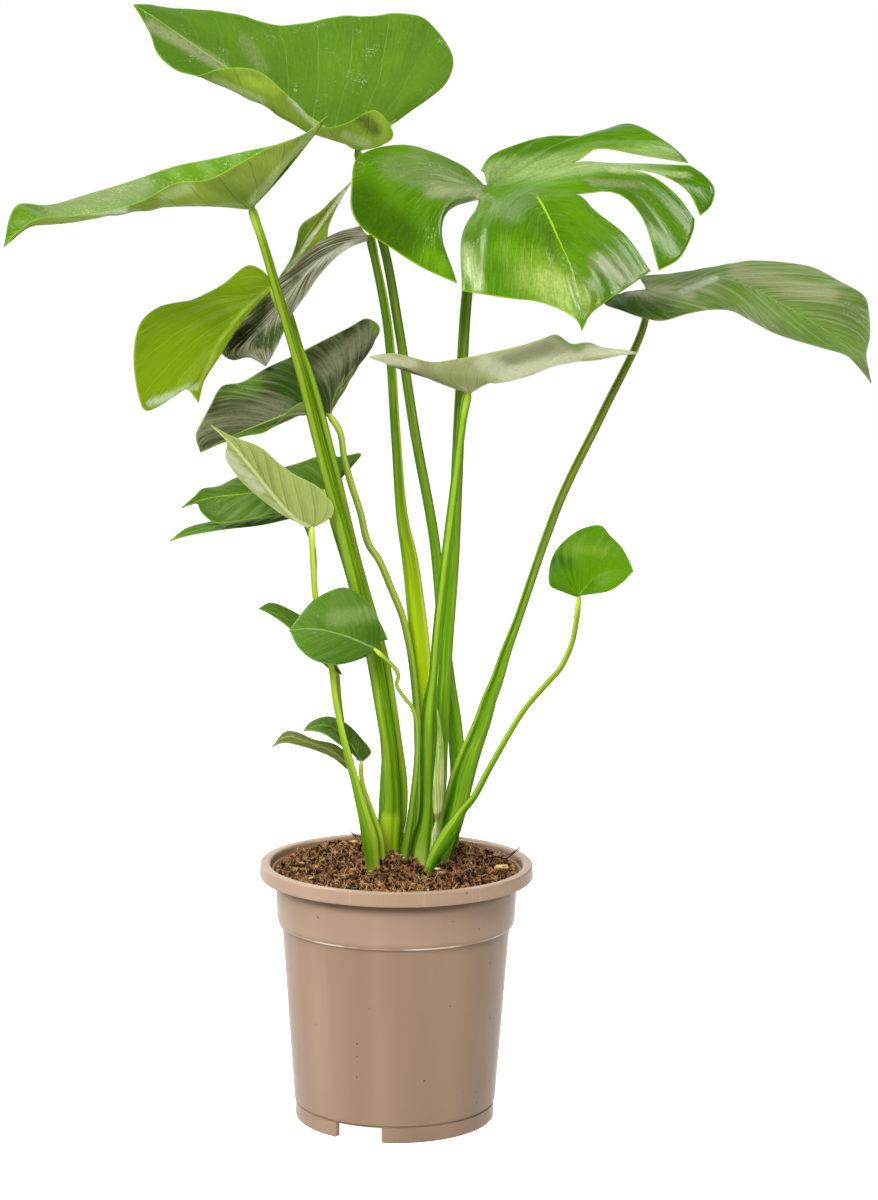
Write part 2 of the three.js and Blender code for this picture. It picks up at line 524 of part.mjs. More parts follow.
function pot() {
  const underRim = POT_HEIGHT - RIM_DEPTH;
  const floor = FOOT_HEIGHT + BASE_PLATE;
  const footRadius = BODY_BASE_RADIUS - FOOT_INSET;
  const profile = [
    [footRadius - FOOT_WIDTH, 0], [footRadius - CORNER, 0], [footRadius, CORNER],
    [footRadius, FOOT_HEIGHT], [BODY_BASE_RADIUS, FOOT_HEIGHT + CORNER], [BODY_TOP_RADIUS, STEP_HEIGHT],
    [BODY_TOP_RADIUS + STEP_WIDTH, STEP_TOP], [NECK_RADIUS, underRim], [RIM_RADIUS - CORNER, underRim],
    [RIM_RADIUS, underRim + CORNER], [RIM_RADIUS, POT_HEIGHT - RIM_CORNER],
    [RIM_RADIUS - RIM_CORNER, POT_HEIGHT], [RIM_RADIUS - RIM_TOP_WIDTH, POT_HEIGHT],
    ...innerWall().reverse(), [footRadius - FOOT_WIDTH, floor], [footRadius - FOOT_WIDTH, 0],
  ].map(([radius, height]) => new THREE.Vector2(radius, height));
  let solid = toSolid(new THREE.LatheGeometry(profile, POT_SIDES).rotateX(Math.PI / 2));
  const plateRadius = BODY_BASE_RADIUS - WALL / 2;
  const plate = new THREE.CylinderGeometry(plateRadius, plateRadius, BASE_PLATE, POT_SIDES)
    .rotateX(Math.PI / 2)
    .translate(0, 0, FOOT_HEIGHT + BASE_PLATE / 2);
  solid = solid.add(toSolid(plate));
  for (let i = 0; i < NOTCHES; i += 1) {
    const notch = new THREE.BoxGeometry(2 * BODY_BASE_RADIUS, NOTCH_WIDTH, 2 * NOTCH_HEIGHT)
      .translate(BODY_BASE_RADIUS + footRadius / 2, 0, 0)
      .rotateZ(FIRST_NOTCH + (2 * Math.PI * i) / NOTCHES);
    solid = solid.subtract(toSolid(notch));
  }
  for (let i = 0; i < DRAINS; i += 1) {
    const drain = new THREE.CylinderGeometry(DRAIN_RADIUS, DRAIN_RADIUS, 4 * BASE_PLATE, DRAIN_SIDES)
      .rotateX(Math.PI / 2)
      .translate(DRAIN_CIRCLE, 0, FOOT_HEIGHT)
      .rotateZ((2 * Math.PI * i) / DRAINS);
    solid = solid.subtract(toSolid(drain));
  }
  return meshOf('pot', fromSolid(solid), POT_COLOUR, 0.45);
}

// the inside of the pot from its floor up to the rim, as radius and height
function innerWall() {
  return [
    [BODY_BASE_RADIUS - WALL, FOOT_HEIGHT + BASE_PLATE],
    [BODY_TOP_RADIUS - WALL, STEP_HEIGHT],
    [BODY_TOP_RADIUS + STEP_WIDTH - WALL, STEP_TOP],
    [NECK_RADIUS - WALL, POT_HEIGHT - RIM_DEPTH - NECK_LIP],
    [RIM_RADIUS - RIM_BASE_WIDTH, POT_HEIGHT - BASE_PLATE],
  ];
}

// the radius of the pot's inside between its neck and the top of its rim
function rimInside(height) {
  const [[low, from], [high, to]] = innerWall().slice(-2);
  return low + ((high - low) * (height - from)) / (to - from);
}

// the lumpy surface of the soil, higher at the back and heaped between the stalks
function soilHeight(x, y) {
  const lumps = Math.sin(0.19 * x + 1.3) * Math.cos(0.23 * y - 0.4) + 0.6 * Math.sin(0.41 * x - 0.31 * y);
  const away = Math.hypot(x - MOUND_CENTRE.x, y - MOUND_CENTRE.y) / MOUND_WIDTH;
  return SOIL_LEVEL + lumps + (SOIL_RISE * y) / RIM_RADIUS + MOUND_HEIGHT * Math.exp(-away * away);
}

function soil(holes) {
  const wall = innerWall().slice(0, -1).map(([radius, height]) => [radius - SOIL_GAP, height]);
  wall[0][1] += SOIL_GAP;
  const positions = [new THREE.Vector3(0, 0, soilHeight(0, 0))];
  const triangles = [];
  for (let ring = 1; ring <= SOIL_RINGS; ring += 1) {
    for (let side = 0; side < SOIL_SIDES; side += 1) {
      const angle = (2 * Math.PI * side) / SOIL_SIDES;
      const [cos, sin] = [Math.cos(angle), Math.sin(angle)];
      const radius = (SOIL_RADIUS * ring) / SOIL_RINGS;
      let height = soilHeight(radius * cos, radius * sin);
      if (ring === SOIL_RINGS) height -= SOIL_EDGE_DROP;
      const reach = ring === SOIL_RINGS ? rimInside(height) - SOIL_GAP : radius;
      positions.push(new THREE.Vector3(reach * cos, reach * sin, height));
    }
  }
  for (const [radius, height] of wall.reverse()) {
    for (let side = 0; side < SOIL_SIDES; side += 1) {
      const angle = (2 * Math.PI * side) / SOIL_SIDES;
      positions.push(new THREE.Vector3(radius * Math.cos(angle), radius * Math.sin(angle), height));
    }
  }
  const rings = SOIL_RINGS + wall.length;
  const bottom = positions.push(new THREE.Vector3(0, 0, wall.at(-1)[1])) - 1;
  const last = 1 + (rings - 1) * SOIL_SIDES;
  for (let side = 0; side < SOIL_SIDES; side += 1) {
    const next = (side + 1) % SOIL_SIDES;
    triangles.push([0, 1 + side, 1 + next], [bottom, last + next, last + side]);
    for (let ring = 0; ring < rings - 1; ring += 1) {
      const inner = 1 + ring * SOIL_SIDES;
      const outer = inner + SOIL_SIDES;
      triangles.push([inner + side, outer + side, outer + next], [inner + side, outer + next, inner + next]);
    }
  }
  let solid = toSolid(faceted(positions, triangles));
  for (const hole of holes) solid = solid.subtract(toSolid(hole));
  return meshOf('soil', fromSolid(solid), SOIL_COLOUR, 0.95);
}

// the round stalk of a leaf, from below the soil up to just short of the junction
function stalk(leaf, grow = 0) {
  const points = leaf.stalk.map(seen);
  const radii = leaf.stalk.map(([, , , wide, deep = wide]) => [wide + grow, deep + grow]);
  const foot = points.at(-1).clone();
  foot.z -= STALK_ROOT + grow;
  points.push(foot);
  radii.push(radii.at(-1));
  const curve = new THREE.CatmullRomCurve3(points, false, 'centripetal');
  const spans = points.length - 1;
  const firstSpan = points[0].distanceTo(points[1]);
  const stations = [STALK_SHORT / firstSpan, Math.min(STALK_END_TAPER / firstSpan, 0.9)];
  for (let span = 0; span < spans; span += 1) {
    const steps = Math.ceil(points[span].distanceTo(points[span + 1]) / STALK_STEP);
    for (let i = 1; i <= steps; i += 1) stations.push(span + i / steps);
  }
  const positions = [];
  const triangles = [];
  let across = new THREE.Vector3(1, 0, 0);
  stations.forEach((station, ring) => {
    const i = Math.min(Math.floor(station), spans - 1);
    let [wide, deep] = [0, 1].map((way) => (
      THREE.MathUtils.lerp(radii[i][way], radii[i + 1][way], station - i)
    ));
    if (ring === 0) wide = deep = STALK_END_RADIUS + grow;
    const centre = curve.getPoint(station / spans);
    const along = curve.getTangent(station / spans);
    across = across.sub(along.clone().multiplyScalar(across.dot(along))).normalize();
    const side = along.clone().cross(across);
    for (let k = 0; k < STALK_SIDES; k += 1) {
      const angle = (2 * Math.PI * k) / STALK_SIDES;
      positions.push(centre.clone()
        .addScaledVector(across, wide * Math.cos(angle))
        .addScaledVector(side, deep * Math.sin(angle)));
    }
  });
  const first = positions.push(curve.getPoint(stations[0] / spans)) - 1;
  const final = positions.push(foot.clone()) - 1;
  const last = (stations.length - 1) * STALK_SIDES;
  for (let k = 0; k < STALK_SIDES; k += 1) {
    const next = (k + 1) % STALK_SIDES;
    triangles.push([first, next, k], [final, last + k, last + next]);
    for (let ring = 0; ring < stations.length - 1; ring += 1) {
      const here = ring * STALK_SIDES;
      const there = here + STALK_SIDES;
      triangles.push([here + k, here + next, there + next], [here + k, there + next, there + k]);
    }
  }
  return faceted(positions, triangles);
}

// the ribs of one side of a leaf, each a row of points from the midrib to the margin
function ribsOf(leaf, side, midrib, rows) {
  const lobes = leaf[side];
  const slots = leaf[`${side}Slots`] ?? [];
  const ribs = [];
  lobes.forEach((lobe, index) => {
    lobe.forEach(([along, right, up, behind, middle]) => {
      const from = midrib.getPointAt(along);
      const to = seen([right, up, behind]);
      const through = Array.isArray(middle) ? middle.map(seen) : [from.clone().lerp(to, 0.5)];
      if (!Array.isArray(middle)) {
        const upper = midrib.getTangentAt(along).cross(to.clone().sub(from)).normalize();
        through[0].addScaledVector(upper, side === 'left' ? middle : -middle);
      }
      const path = new THREE.CatmullRomCurve3([from, ...through, to]);
      const points = path.getSpacedPoints(rows);
      ribs.push({ along, points, lobe: index });
    });
  });
  slots.forEach((start, index) => closeSlot(ribs, index, start, rows));
  return ribs;
}

// two neighbouring lobes share their rib up to where the slot between them starts
function closeSlot(ribs, index, start, rows) {
  const before = ribs.filter((rib) => rib.lobe === index).at(-1);
  const after = ribs.find((rib) => rib.lobe === index + 1);
  const along = (before.along + after.along) / 2;
  before.along = along;
  after.along = along;
  for (let row = 0; row <= Math.round(start * rows); row += 1) {
    const shared = before.points[row].clone().lerp(after.points[row], 0.5);
    before.points[row] = shared;
    after.points[row] = shared;
  }
}

// triangles between two lines of points that run side by side
function stitch(a, b, triangles) {
  let i = 0;
  let j = 0;
  while (i < a.length - 1 || j < b.length - 1) {
    const stepA = j === b.length - 1 || (i < a.length - 1 && a[i + 1].along < b[j + 1].along);
    triangles.push(stepA ? [a[i].id, a[i + 1].id, b[j].id] : [a[i].id, b[j + 1].id, b[j].id]);
    if (stepA) i += 1;
    else j += 1;
  }
}

// the middle surface of a blade, as points and triangles
function bladeSurface(leaf) {
  const rows = leaf.leftSlots ? BLADE_ROWS : PLAIN_ROWS;
  const midrib = new THREE.CatmullRomCurve3(leaf.midrib.map(seen), false, 'centripetal');
  const points = [];
  const known = new Map();
  const idOf = (point) => {
    const key = point.toArray().map((value) => Math.round(value * 100)).join();
    if (!known.has(key)) known.set(key, points.push(point) - 1);
    return known.get(key);
  };
  const sides = ['left', 'right'].map((side) => ribsOf(leaf, side, midrib, rows));
  const stations = [...new Set(sides.flat().map((rib) => rib.along))].sort((a, b) => a - b);
  const spine = stations.map((along) => ({ along, id: idOf(midrib.getPointAt(along)) }));
  const triangles = [];
  sides.forEach((ribs, sideIndex) => {
    const made = [];
    const firstRow = ribs.map((rib) => ({ along: rib.along, id: idOf(rib.points[1]) }));
    stitch(spine, firstRow, made);
    for (let i = 0; i < ribs.length - 1; i += 1) {
      if (ribs[i].lobe !== ribs[i + 1].lobe) continue;
      for (let row = 1; row < rows; row += 1) {
        const [p, q] = [idOf(ribs[i].points[row]), idOf(ribs[i + 1].points[row])];
        const [r, s] = [idOf(ribs[i + 1].points[row + 1]), idOf(ribs[i].points[row + 1])];
        made.push([p, q, r], [p, r, s]);
      }
    }
    const proper = made.filter(([a, b, c]) => a !== b && b !== c && c !== a);
    triangles.push(...(sideIndex === 0 ? proper : proper.map(([a, b, c]) => [a, c, b])));
  });
  return { points, triangles };
}

// a thin sheet: a surface with the same triangles on both faces, closed along its edges
function sheet({ points, triangles }, thickness) {
  const normals = points.map(() => new THREE.Vector3());
  const edges = new Set();
  for (const [a, b, c] of triangles) {
    const normal = points[b].clone().sub(points[a]).cross(points[c].clone().sub(points[a]));
    for (const id of [a, b, c]) normals[id].add(normal);
    for (const edge of [[a, b], [b, c], [c, a]]) edges.add(edge.join());
  }
  const count = points.length;
  const offset = (face) => points.map((point, i) => (
    point.clone().addScaledVector(normals[i].clone().normalize(), (face * thickness) / 2)
  ));
  const positions = [...offset(1), ...offset(-1)];
  const solid = [...triangles];
  for (const [a, b, c] of triangles) {
    solid.push([a + count, c + count, b + count]);
    for (const [from, to] of [[a, b], [b, c], [c, a]]) {
      if (!edges.has([to, from].join())) {
        solid.push([to, from, from + count], [to, from + count, to + count]);
      }
    }
  }
  return faceted(positions, solid);
}

// the curled strip between its edge curves, from the soil to its broken end
function sheathSurface(grow = 0) {
  const steps = SHEATH_EDGES[0].length - 1;
  const curves = SHEATH_EDGES.map((edge, i) => new THREE.CatmullRomCurve3(
    edge.map(([right, up, behind], k) => seen([right + (i - 1) * grow, k === 0 ? up - grow : up, behind])),
  ));
  const points = [];
  const triangles = [];
  for (let step = 0; step <= steps; step += 1) {
    const across = new THREE.CatmullRomCurve3(curves.map((curve) => curve.getPoint(step / steps)));
    for (let i = 0; i <= steps; i += 1) points.push(across.getPoint(i / steps));
  }
  for (let step = 0; step < steps; step += 1) {
    for (let i = 0; i < steps; i += 1) {
      const here = step * (steps + 1) + i;
      const above = here + steps + 1;
      triangles.push([here, here + 1, above + 1], [here, above + 1, above]);
    }
  }
  return { points, triangles };
}

const plant = new THREE.Group();
const sheath = sheet(sheathSurface(), SHEATH_THICKNESS);
const sheathHole = sheet(sheathSurface(HOLE_CLEARANCE), SHEATH_THICKNESS + 2 * HOLE_CLEARANCE);
const holes = [...LEAVES.map((leaf) => stalk(leaf, HOLE_CLEARANCE)), sheathHole];
plant.add(pot(), soil(holes), meshOf('dry_sheath', sheath, SHEATH_COLOUR, 0.7));
for (const leaf of LEAVES) {
  const blade = sheet(bladeSurface(leaf), BLADE_THICKNESS);
  const growth = new THREE.Group();
  growth.add(meshOf(`${leaf.name}_stalk`, stalk(leaf), STALK_COLOUR, 0.5));
  growth.add(meshOf(`${leaf.name}_leaf`, blade, leaf.color ?? LEAF_COLOUR, 0.4));
  plant.add(growth);
}

// the origin is on the floor, under the middle of the whole plant
const middle = new THREE.Box3().setFromObject(plant).getCenter(new THREE.Vector3());
plant.position.set(-middle.x, -middle.y, 0);
const group = new THREE.Group();
group.add(plant);
export default group;
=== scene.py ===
# %% [markdown]
# # A potted monstera
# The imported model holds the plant's construction: a nursery pot, its soil, and seventeen leaves, each on
# a stalk of its own. Its solids are plain and faceted. This lesson dresses them: it loads them as a fixed
# frame and grows finer blades, stalks, soil and pot exactly where the frame has them.

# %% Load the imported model
import math

import bmesh
import bpy
import numpy as np
from mathutils import Matrix, Vector, noise


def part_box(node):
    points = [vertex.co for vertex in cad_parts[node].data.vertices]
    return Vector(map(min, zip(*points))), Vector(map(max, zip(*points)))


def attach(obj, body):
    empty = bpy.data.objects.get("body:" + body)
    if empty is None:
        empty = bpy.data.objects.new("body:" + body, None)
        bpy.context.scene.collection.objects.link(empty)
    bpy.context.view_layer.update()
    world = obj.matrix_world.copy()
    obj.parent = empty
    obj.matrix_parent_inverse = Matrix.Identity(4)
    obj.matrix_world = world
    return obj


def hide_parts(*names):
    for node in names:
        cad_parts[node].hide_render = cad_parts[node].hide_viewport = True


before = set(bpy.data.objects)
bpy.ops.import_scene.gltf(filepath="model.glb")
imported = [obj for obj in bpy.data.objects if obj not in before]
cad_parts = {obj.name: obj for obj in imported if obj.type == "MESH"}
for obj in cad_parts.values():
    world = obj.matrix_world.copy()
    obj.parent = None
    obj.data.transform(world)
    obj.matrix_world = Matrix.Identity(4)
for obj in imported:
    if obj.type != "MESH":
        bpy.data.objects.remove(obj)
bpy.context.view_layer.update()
MM = 0.001
pot_low, pot_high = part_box("pot")
POT_AXIS = np.array([(pot_low.x + pot_high.x) / 2, (pot_low.y + pot_high.y) / 2, 0])
print("nodes", len(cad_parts), "pot axis", POT_AXIS.round(4))

# %% [markdown]
# ## Camera
# The photographer stood about two metres away with the lens a little above the foliage, looking slightly
# down, so the rim of the pot shows as a flat ellipse. A long lens keeps the near leaf from looking large.
# The camera's own axes are worked out from its tilt, turn and lean and set as a matrix, which is easier
# to reason about than three Euler angles.

# %% Camera
EYE_DISTANCE = 1940
EYE_HEIGHT = 626
TILT_DOWN = math.radians(7.7)
TURN = math.radians(0.82)
LEAN = math.radians(0.55)
FOCAL_LENGTH = 85.5
SENSOR = 36

ahead = Vector((math.sin(TURN) * math.cos(TILT_DOWN), math.cos(TURN) * math.cos(TILT_DOWN),
                -math.sin(TILT_DOWN)))
level = Vector((math.cos(TURN), -math.sin(TURN), 0))
right = math.cos(LEAN) * level + math.sin(LEAN) * level.cross(ahead)
up = right.cross(ahead)
eye = Vector(POT_AXIS) + Vector((0, -EYE_DISTANCE, EYE_HEIGHT)) * MM

camera_data = bpy.data.cameras.new("camera")
camera_data.lens = FOCAL_LENGTH
camera_data.sensor_width = SENSOR
camera = bpy.data.objects.new("camera", camera_data)
camera.matrix_world = Matrix.Translation(eye) @ Matrix((right, up, -ahead)).transposed().to_4x4()
bpy.context.scene.collection.objects.link(camera)
bpy.context.scene.camera = camera
print("camera at", [round(v, 3) for v in eye])

# %% [markdown]
# ## Small helpers
# Every piece is a mesh that sits at the origin with its place in its points. The first helpers build such
# a mesh, join rings of points with faces and register the piece with the frame. The others add nodes in
# one line each, so that the material cells below can be read as a list of what the finish is made of.

# %% Helpers for meshes
scene = bpy.context.scene
scene.view_settings.view_transform = "Standard"


def smooth_mesh(name, points, faces):
    mesh = bpy.data.meshes.new(name)
    mesh.from_pydata([tuple(p) for p in points], [], faces)
    mesh.shade_smooth()
    return mesh


def on_circle(radius, number, count):
    """One of count places spread round a circle: right and behind its middle."""
    angle = 2 * math.pi * number / count
    return radius * math.cos(angle), radius * math.sin(angle)


def ring_faces(rings, sides, first=0, turned=False):
    """Faces between rings of points, listed ring after ring. Turned, they face the other way."""
    faces = []
    for ring in range(rings - 1):
        here, there = first + ring * sides, first + (ring + 1) * sides
        for k in range(sides):
            on = (k + 1) % sides
            if turned:
                faces.append((here + k, there + k, there + on, here + on))
            else:
                faces.append((here + k, here + on, there + on, there + k))
    return faces


def place(mesh, slot, nodes=()):
    """Puts a finished mesh in the scene: it rides on the plant and stands for these nodes."""
    piece = bpy.data.objects.new(mesh.name, mesh)
    scene.collection.objects.link(piece)
    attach(piece, "root")
    if nodes:
        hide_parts(*nodes)


def point_attribute(mesh, name, values, kind="FLOAT"):
    attribute = mesh.attributes.new(name, kind, "POINT")
    key = "value" if kind == "FLOAT" else "vector"
    attribute.data.foreach_set(key, np.asarray(values, np.float32).ravel())


# %% Helpers for nodes
def feed(tree, socket, value):
    """Links a socket to another one, or sets it to a plain value."""
    if isinstance(value, bpy.types.NodeSocket):
        tree.links.new(value, socket)
    else:
        socket.default_value = value


def new_node(tree, kind, inputs=None, **settings):
    """A new node with its properties set and its inputs fed."""
    node = tree.nodes.new(kind)
    for key, value in settings.items():
        setattr(node, key, value)
    for key, value in (inputs or {}).items():
        feed(tree, node.inputs[key], value)
    return node


def add(tree, kind, inputs=None, **settings):
    return new_node(tree, "ShaderNode" + kind, inputs, **settings)


def maths(tree, operation, *values):
    return add(tree, "Math", dict(enumerate(values)), operation=operation).outputs[0]


def times(tree, first, second):
    return maths(tree, "MULTIPLY", first, second)


def fade(tree, value, low, high, start=0.0, end=1.0):
    """Goes smoothly from start to end as the value goes from low to high."""
    node = add(tree, "MapRange", {0: value, 1: low, 2: high, 3: start, 4: end},
               interpolation_type="SMOOTHSTEP")
    return node.outputs[0]


def stored(tree, name, output="Fac"):
    """What the mesh stores at each point under this name."""
    return add(tree, "Attribute", attribute_name=name).outputs[output]


def speckle(tree, place_on, scale, detail=3):
    """Noise from 0 to 1. Three scales in place of one stretch it along the axes."""
    if isinstance(scale, tuple):
        place_on = add(tree, "Mapping", {0: place_on, "Scale": scale}).outputs[0]
        scale = 1.0
    return add(tree, "TexNoise", {"Vector": place_on, "Scale": scale, "Detail": detail}).outputs["Fac"]


# %% Helpers for colours and finishes
def rgb(red, green, blue):
    """A colour as picked from a picture, 0 to 255, as the linear value that a shader needs."""
    shares = (v / 255 for v in (red, green, blue))
    return (*(v / 12.92 if v <= 0.04045 else ((v + 0.055) / 1.055) ** 2.4 for v in shares), 1)


def blend(tree, share, first, second, kind="MIX"):
    """Mixes two colours, of which each is a socket or three picked numbers."""
    first, second = (c if isinstance(c, bpy.types.NodeSocket) else rgb(*c) for c in (first, second))
    node = add(tree, "Mix", {0: share, 6: first, 7: second}, data_type="RGBA", blend_type=kind)
    return node.outputs[2]


def layered(tree, base, *layers):
    """Lays colours over the base one after another, each where its mask is."""
    for mask, paint in layers:
        base = blend(tree, mask, base, paint)
    return base


def new_material(name):
    material = bpy.data.materials.new(name)
    material.use_nodes = True
    return material, material.node_tree, material.node_tree.nodes["Principled BSDF"]


def finish(tree, shader, colour, rough, relief, strength, depth, shine=0.5):
    """Gives the shader its colour, roughness and shine, and a relief with its strength and its depth."""
    feed(tree, shader.inputs["Base Color"], colour)
    feed(tree, shader.inputs["Roughness"], rough)
    shader.inputs["Specular IOR Level"].default_value = shine
    bump = add(tree, "Bump", {"Strength": strength, "Distance": depth, "Height": relief}).outputs[0]
    tree.links.new(bump, shader.inputs["Normal"])
    return bump


# %% [markdown]
# ## Light
# The plant stood before a bright white sweep that comes round its left side, with a softbox high on the
# left, another on the right, a narrow one above it towards the camera, and a soft fill from the front.
# Straight overhead and behind the camera the room was dark. That gives leaves their depth: a blade is a
# full, dark green where it mirrors the dark room, white where it mirrors a softbox, and silvery where it
# lies level and mirrors the sweep. Low down the sweep reaches further round on both sides, which is
# what the side walls of the pot mirror, and the undersides of the leaves that are seen edge on. The world
# here is the sweep and the room, and the camera itself sees plain white.

# %% World and lights
SWEEP = 1.0
ROOM = 0.05
SWEEP_MIDDLE = (-0.609, 0.793, 0)
SWEEP_SIDE = (0.47, 0.6)
SWEEP_TOP = (0.82, 0.93, 1.0, 0.0)
GROUND_SIDE = (-0.3, -0.24)
GROUND_TOP = (-0.12, -0.08, 1.0, 0.0)
world = bpy.data.worlds.new("white_sweep")
world.use_nodes = True
tree = world.node_tree
way = add(tree, "TexCoord").outputs["Generated"]
level = add(tree, "VectorMath", {0: way, 1: (1, 1, 0)}, operation="MULTIPLY").outputs[0]
level = add(tree, "VectorMath", {0: level}, operation="NORMALIZE").outputs[0]
nearness = add(tree, "VectorMath", {0: level, 1: SWEEP_MIDDLE}, operation="DOT_PRODUCT").outputs["Value"]
height = add(tree, "SeparateXYZ", {0: way}).outputs[2]
behind = add(tree, "SeparateXYZ", {0: level}).outputs[1]
wall = times(tree, fade(tree, nearness, *SWEEP_SIDE), fade(tree, height, *SWEEP_TOP))
ground = times(tree, fade(tree, behind, *GROUND_SIDE), fade(tree, height, *GROUND_TOP))
lit = maths(tree, "MULTIPLY_ADD", maths(tree, "MAXIMUM", wall, ground), SWEEP - ROOM, ROOM)
strength = maths(tree, "MAXIMUM", lit, add(tree, "LightPath").outputs["Is Camera Ray"])
tree.links.new(strength, tree.nodes["Background"].inputs["Strength"])
tree.nodes["Background"].inputs["Color"].default_value = (1, 1, 1, 1)
scene.world = world


def softbox(name, stand, aim, size, power, mirrored=True):
    """A rectangle of light that stands in one place and is aimed at another."""
    data = bpy.data.lights.new(name, "AREA")
    data.shape = "RECTANGLE"
    data.size, data.size_y = size
    data.energy = power
    light = bpy.data.objects.new(name, data)
    light.visible_glossy = mirrored
    way = (Vector(stand) - Vector(aim)).normalized()
    light.matrix_world = Matrix.Translation(stand) @ way.to_track_quat("Z", "Y").to_matrix().to_4x4()
    scene.collection.objects.link(light)


FOLIAGE = (0, 0, 0.6)
softbox("left_softbox", (-1.1, 0.25, 1.75), FOLIAGE, (0.8, 0.7), 24)
softbox("right_softbox", (1.16, 0.25, 1.66), FOLIAGE, (0.6, 0.6), 14)
softbox("top_softbox", (0.1, -0.95, 1.85), FOLIAGE, (0.8, 0.4), 9)
softbox("front_fill", (-0.8, -2.2, 1.75), (0, 0, 0.35), (1.0, 1.0), 60, mirrored=False)

# %% [markdown]
# ## Floor
# A plain pale floor, far wider than the plant. On a real sweep it is lit on its own so that it comes out
# as pure white, so here it glows: fully for the camera, and faintly for the undersides of the leaves. It
# doesn't show in reflections, because the floor in front of a sweep is out of the light.

# %% Floor
FLOOR_HALF = 6
FLOOR_GLOW = 1.0
FLOOR_BOUNCE = 0.22
corners = [(FLOOR_HALF * x, FLOOR_HALF * y, 0) for x, y in ((-1, -1), (1, -1), (1, 1), (-1, 1))]
floor_mesh = smooth_mesh("floor", corners, [(0, 1, 2, 3)])
floor = bpy.data.objects.new("floor", floor_mesh)
floor.visible_glossy = False
scene.collection.objects.link(floor)
material, tree, shader = new_material("white_floor")
grain = speckle(tree, add(tree, "TexCoord").outputs["Object"], 3.0)
feed(tree, shader.inputs["Base Color"], blend(tree, grain, (206, 206, 204), (214, 214, 212)))
shader.inputs["Roughness"].default_value = 0.9
shader.inputs["Emission Color"].default_value = (1, 1, 1, 1)
seen_by_camera = add(tree, "LightPath").outputs["Is Camera Ray"]
glow = maths(tree, "MULTIPLY_ADD", seen_by_camera, FLOOR_GLOW - FLOOR_BOUNCE, FLOOR_BOUNCE)
tree.links.new(glow, shader.inputs["Emission Strength"])
floor_mesh.materials.append(material)
print("floor", 2 * FLOOR_HALF, "m wide")

# %% [markdown]
# ## The plant, point by point
# A monstera leaf is a thin sheet carried by a midrib, with side veins that run from the midrib to the
# margin. The list repeats the one that the solids were built from: for each leaf its midrib, then the
# ribs of its two sides, lobe by lobe, and its stalk. Each point is what is seen from the front, in
# millimetres right of the pot's axis and up from the floor, and how far it lies behind the axis. A rib
# starts with the share of the midrib where it leaves it, and ends with how far it bulges at its middle, or
# with points that it passes through. A stalk's point ends with its half-width, and its half-depth if that
# differs. The list is chosen over tracing a mesh because a few dozen points that mean something are easy
# to bend.

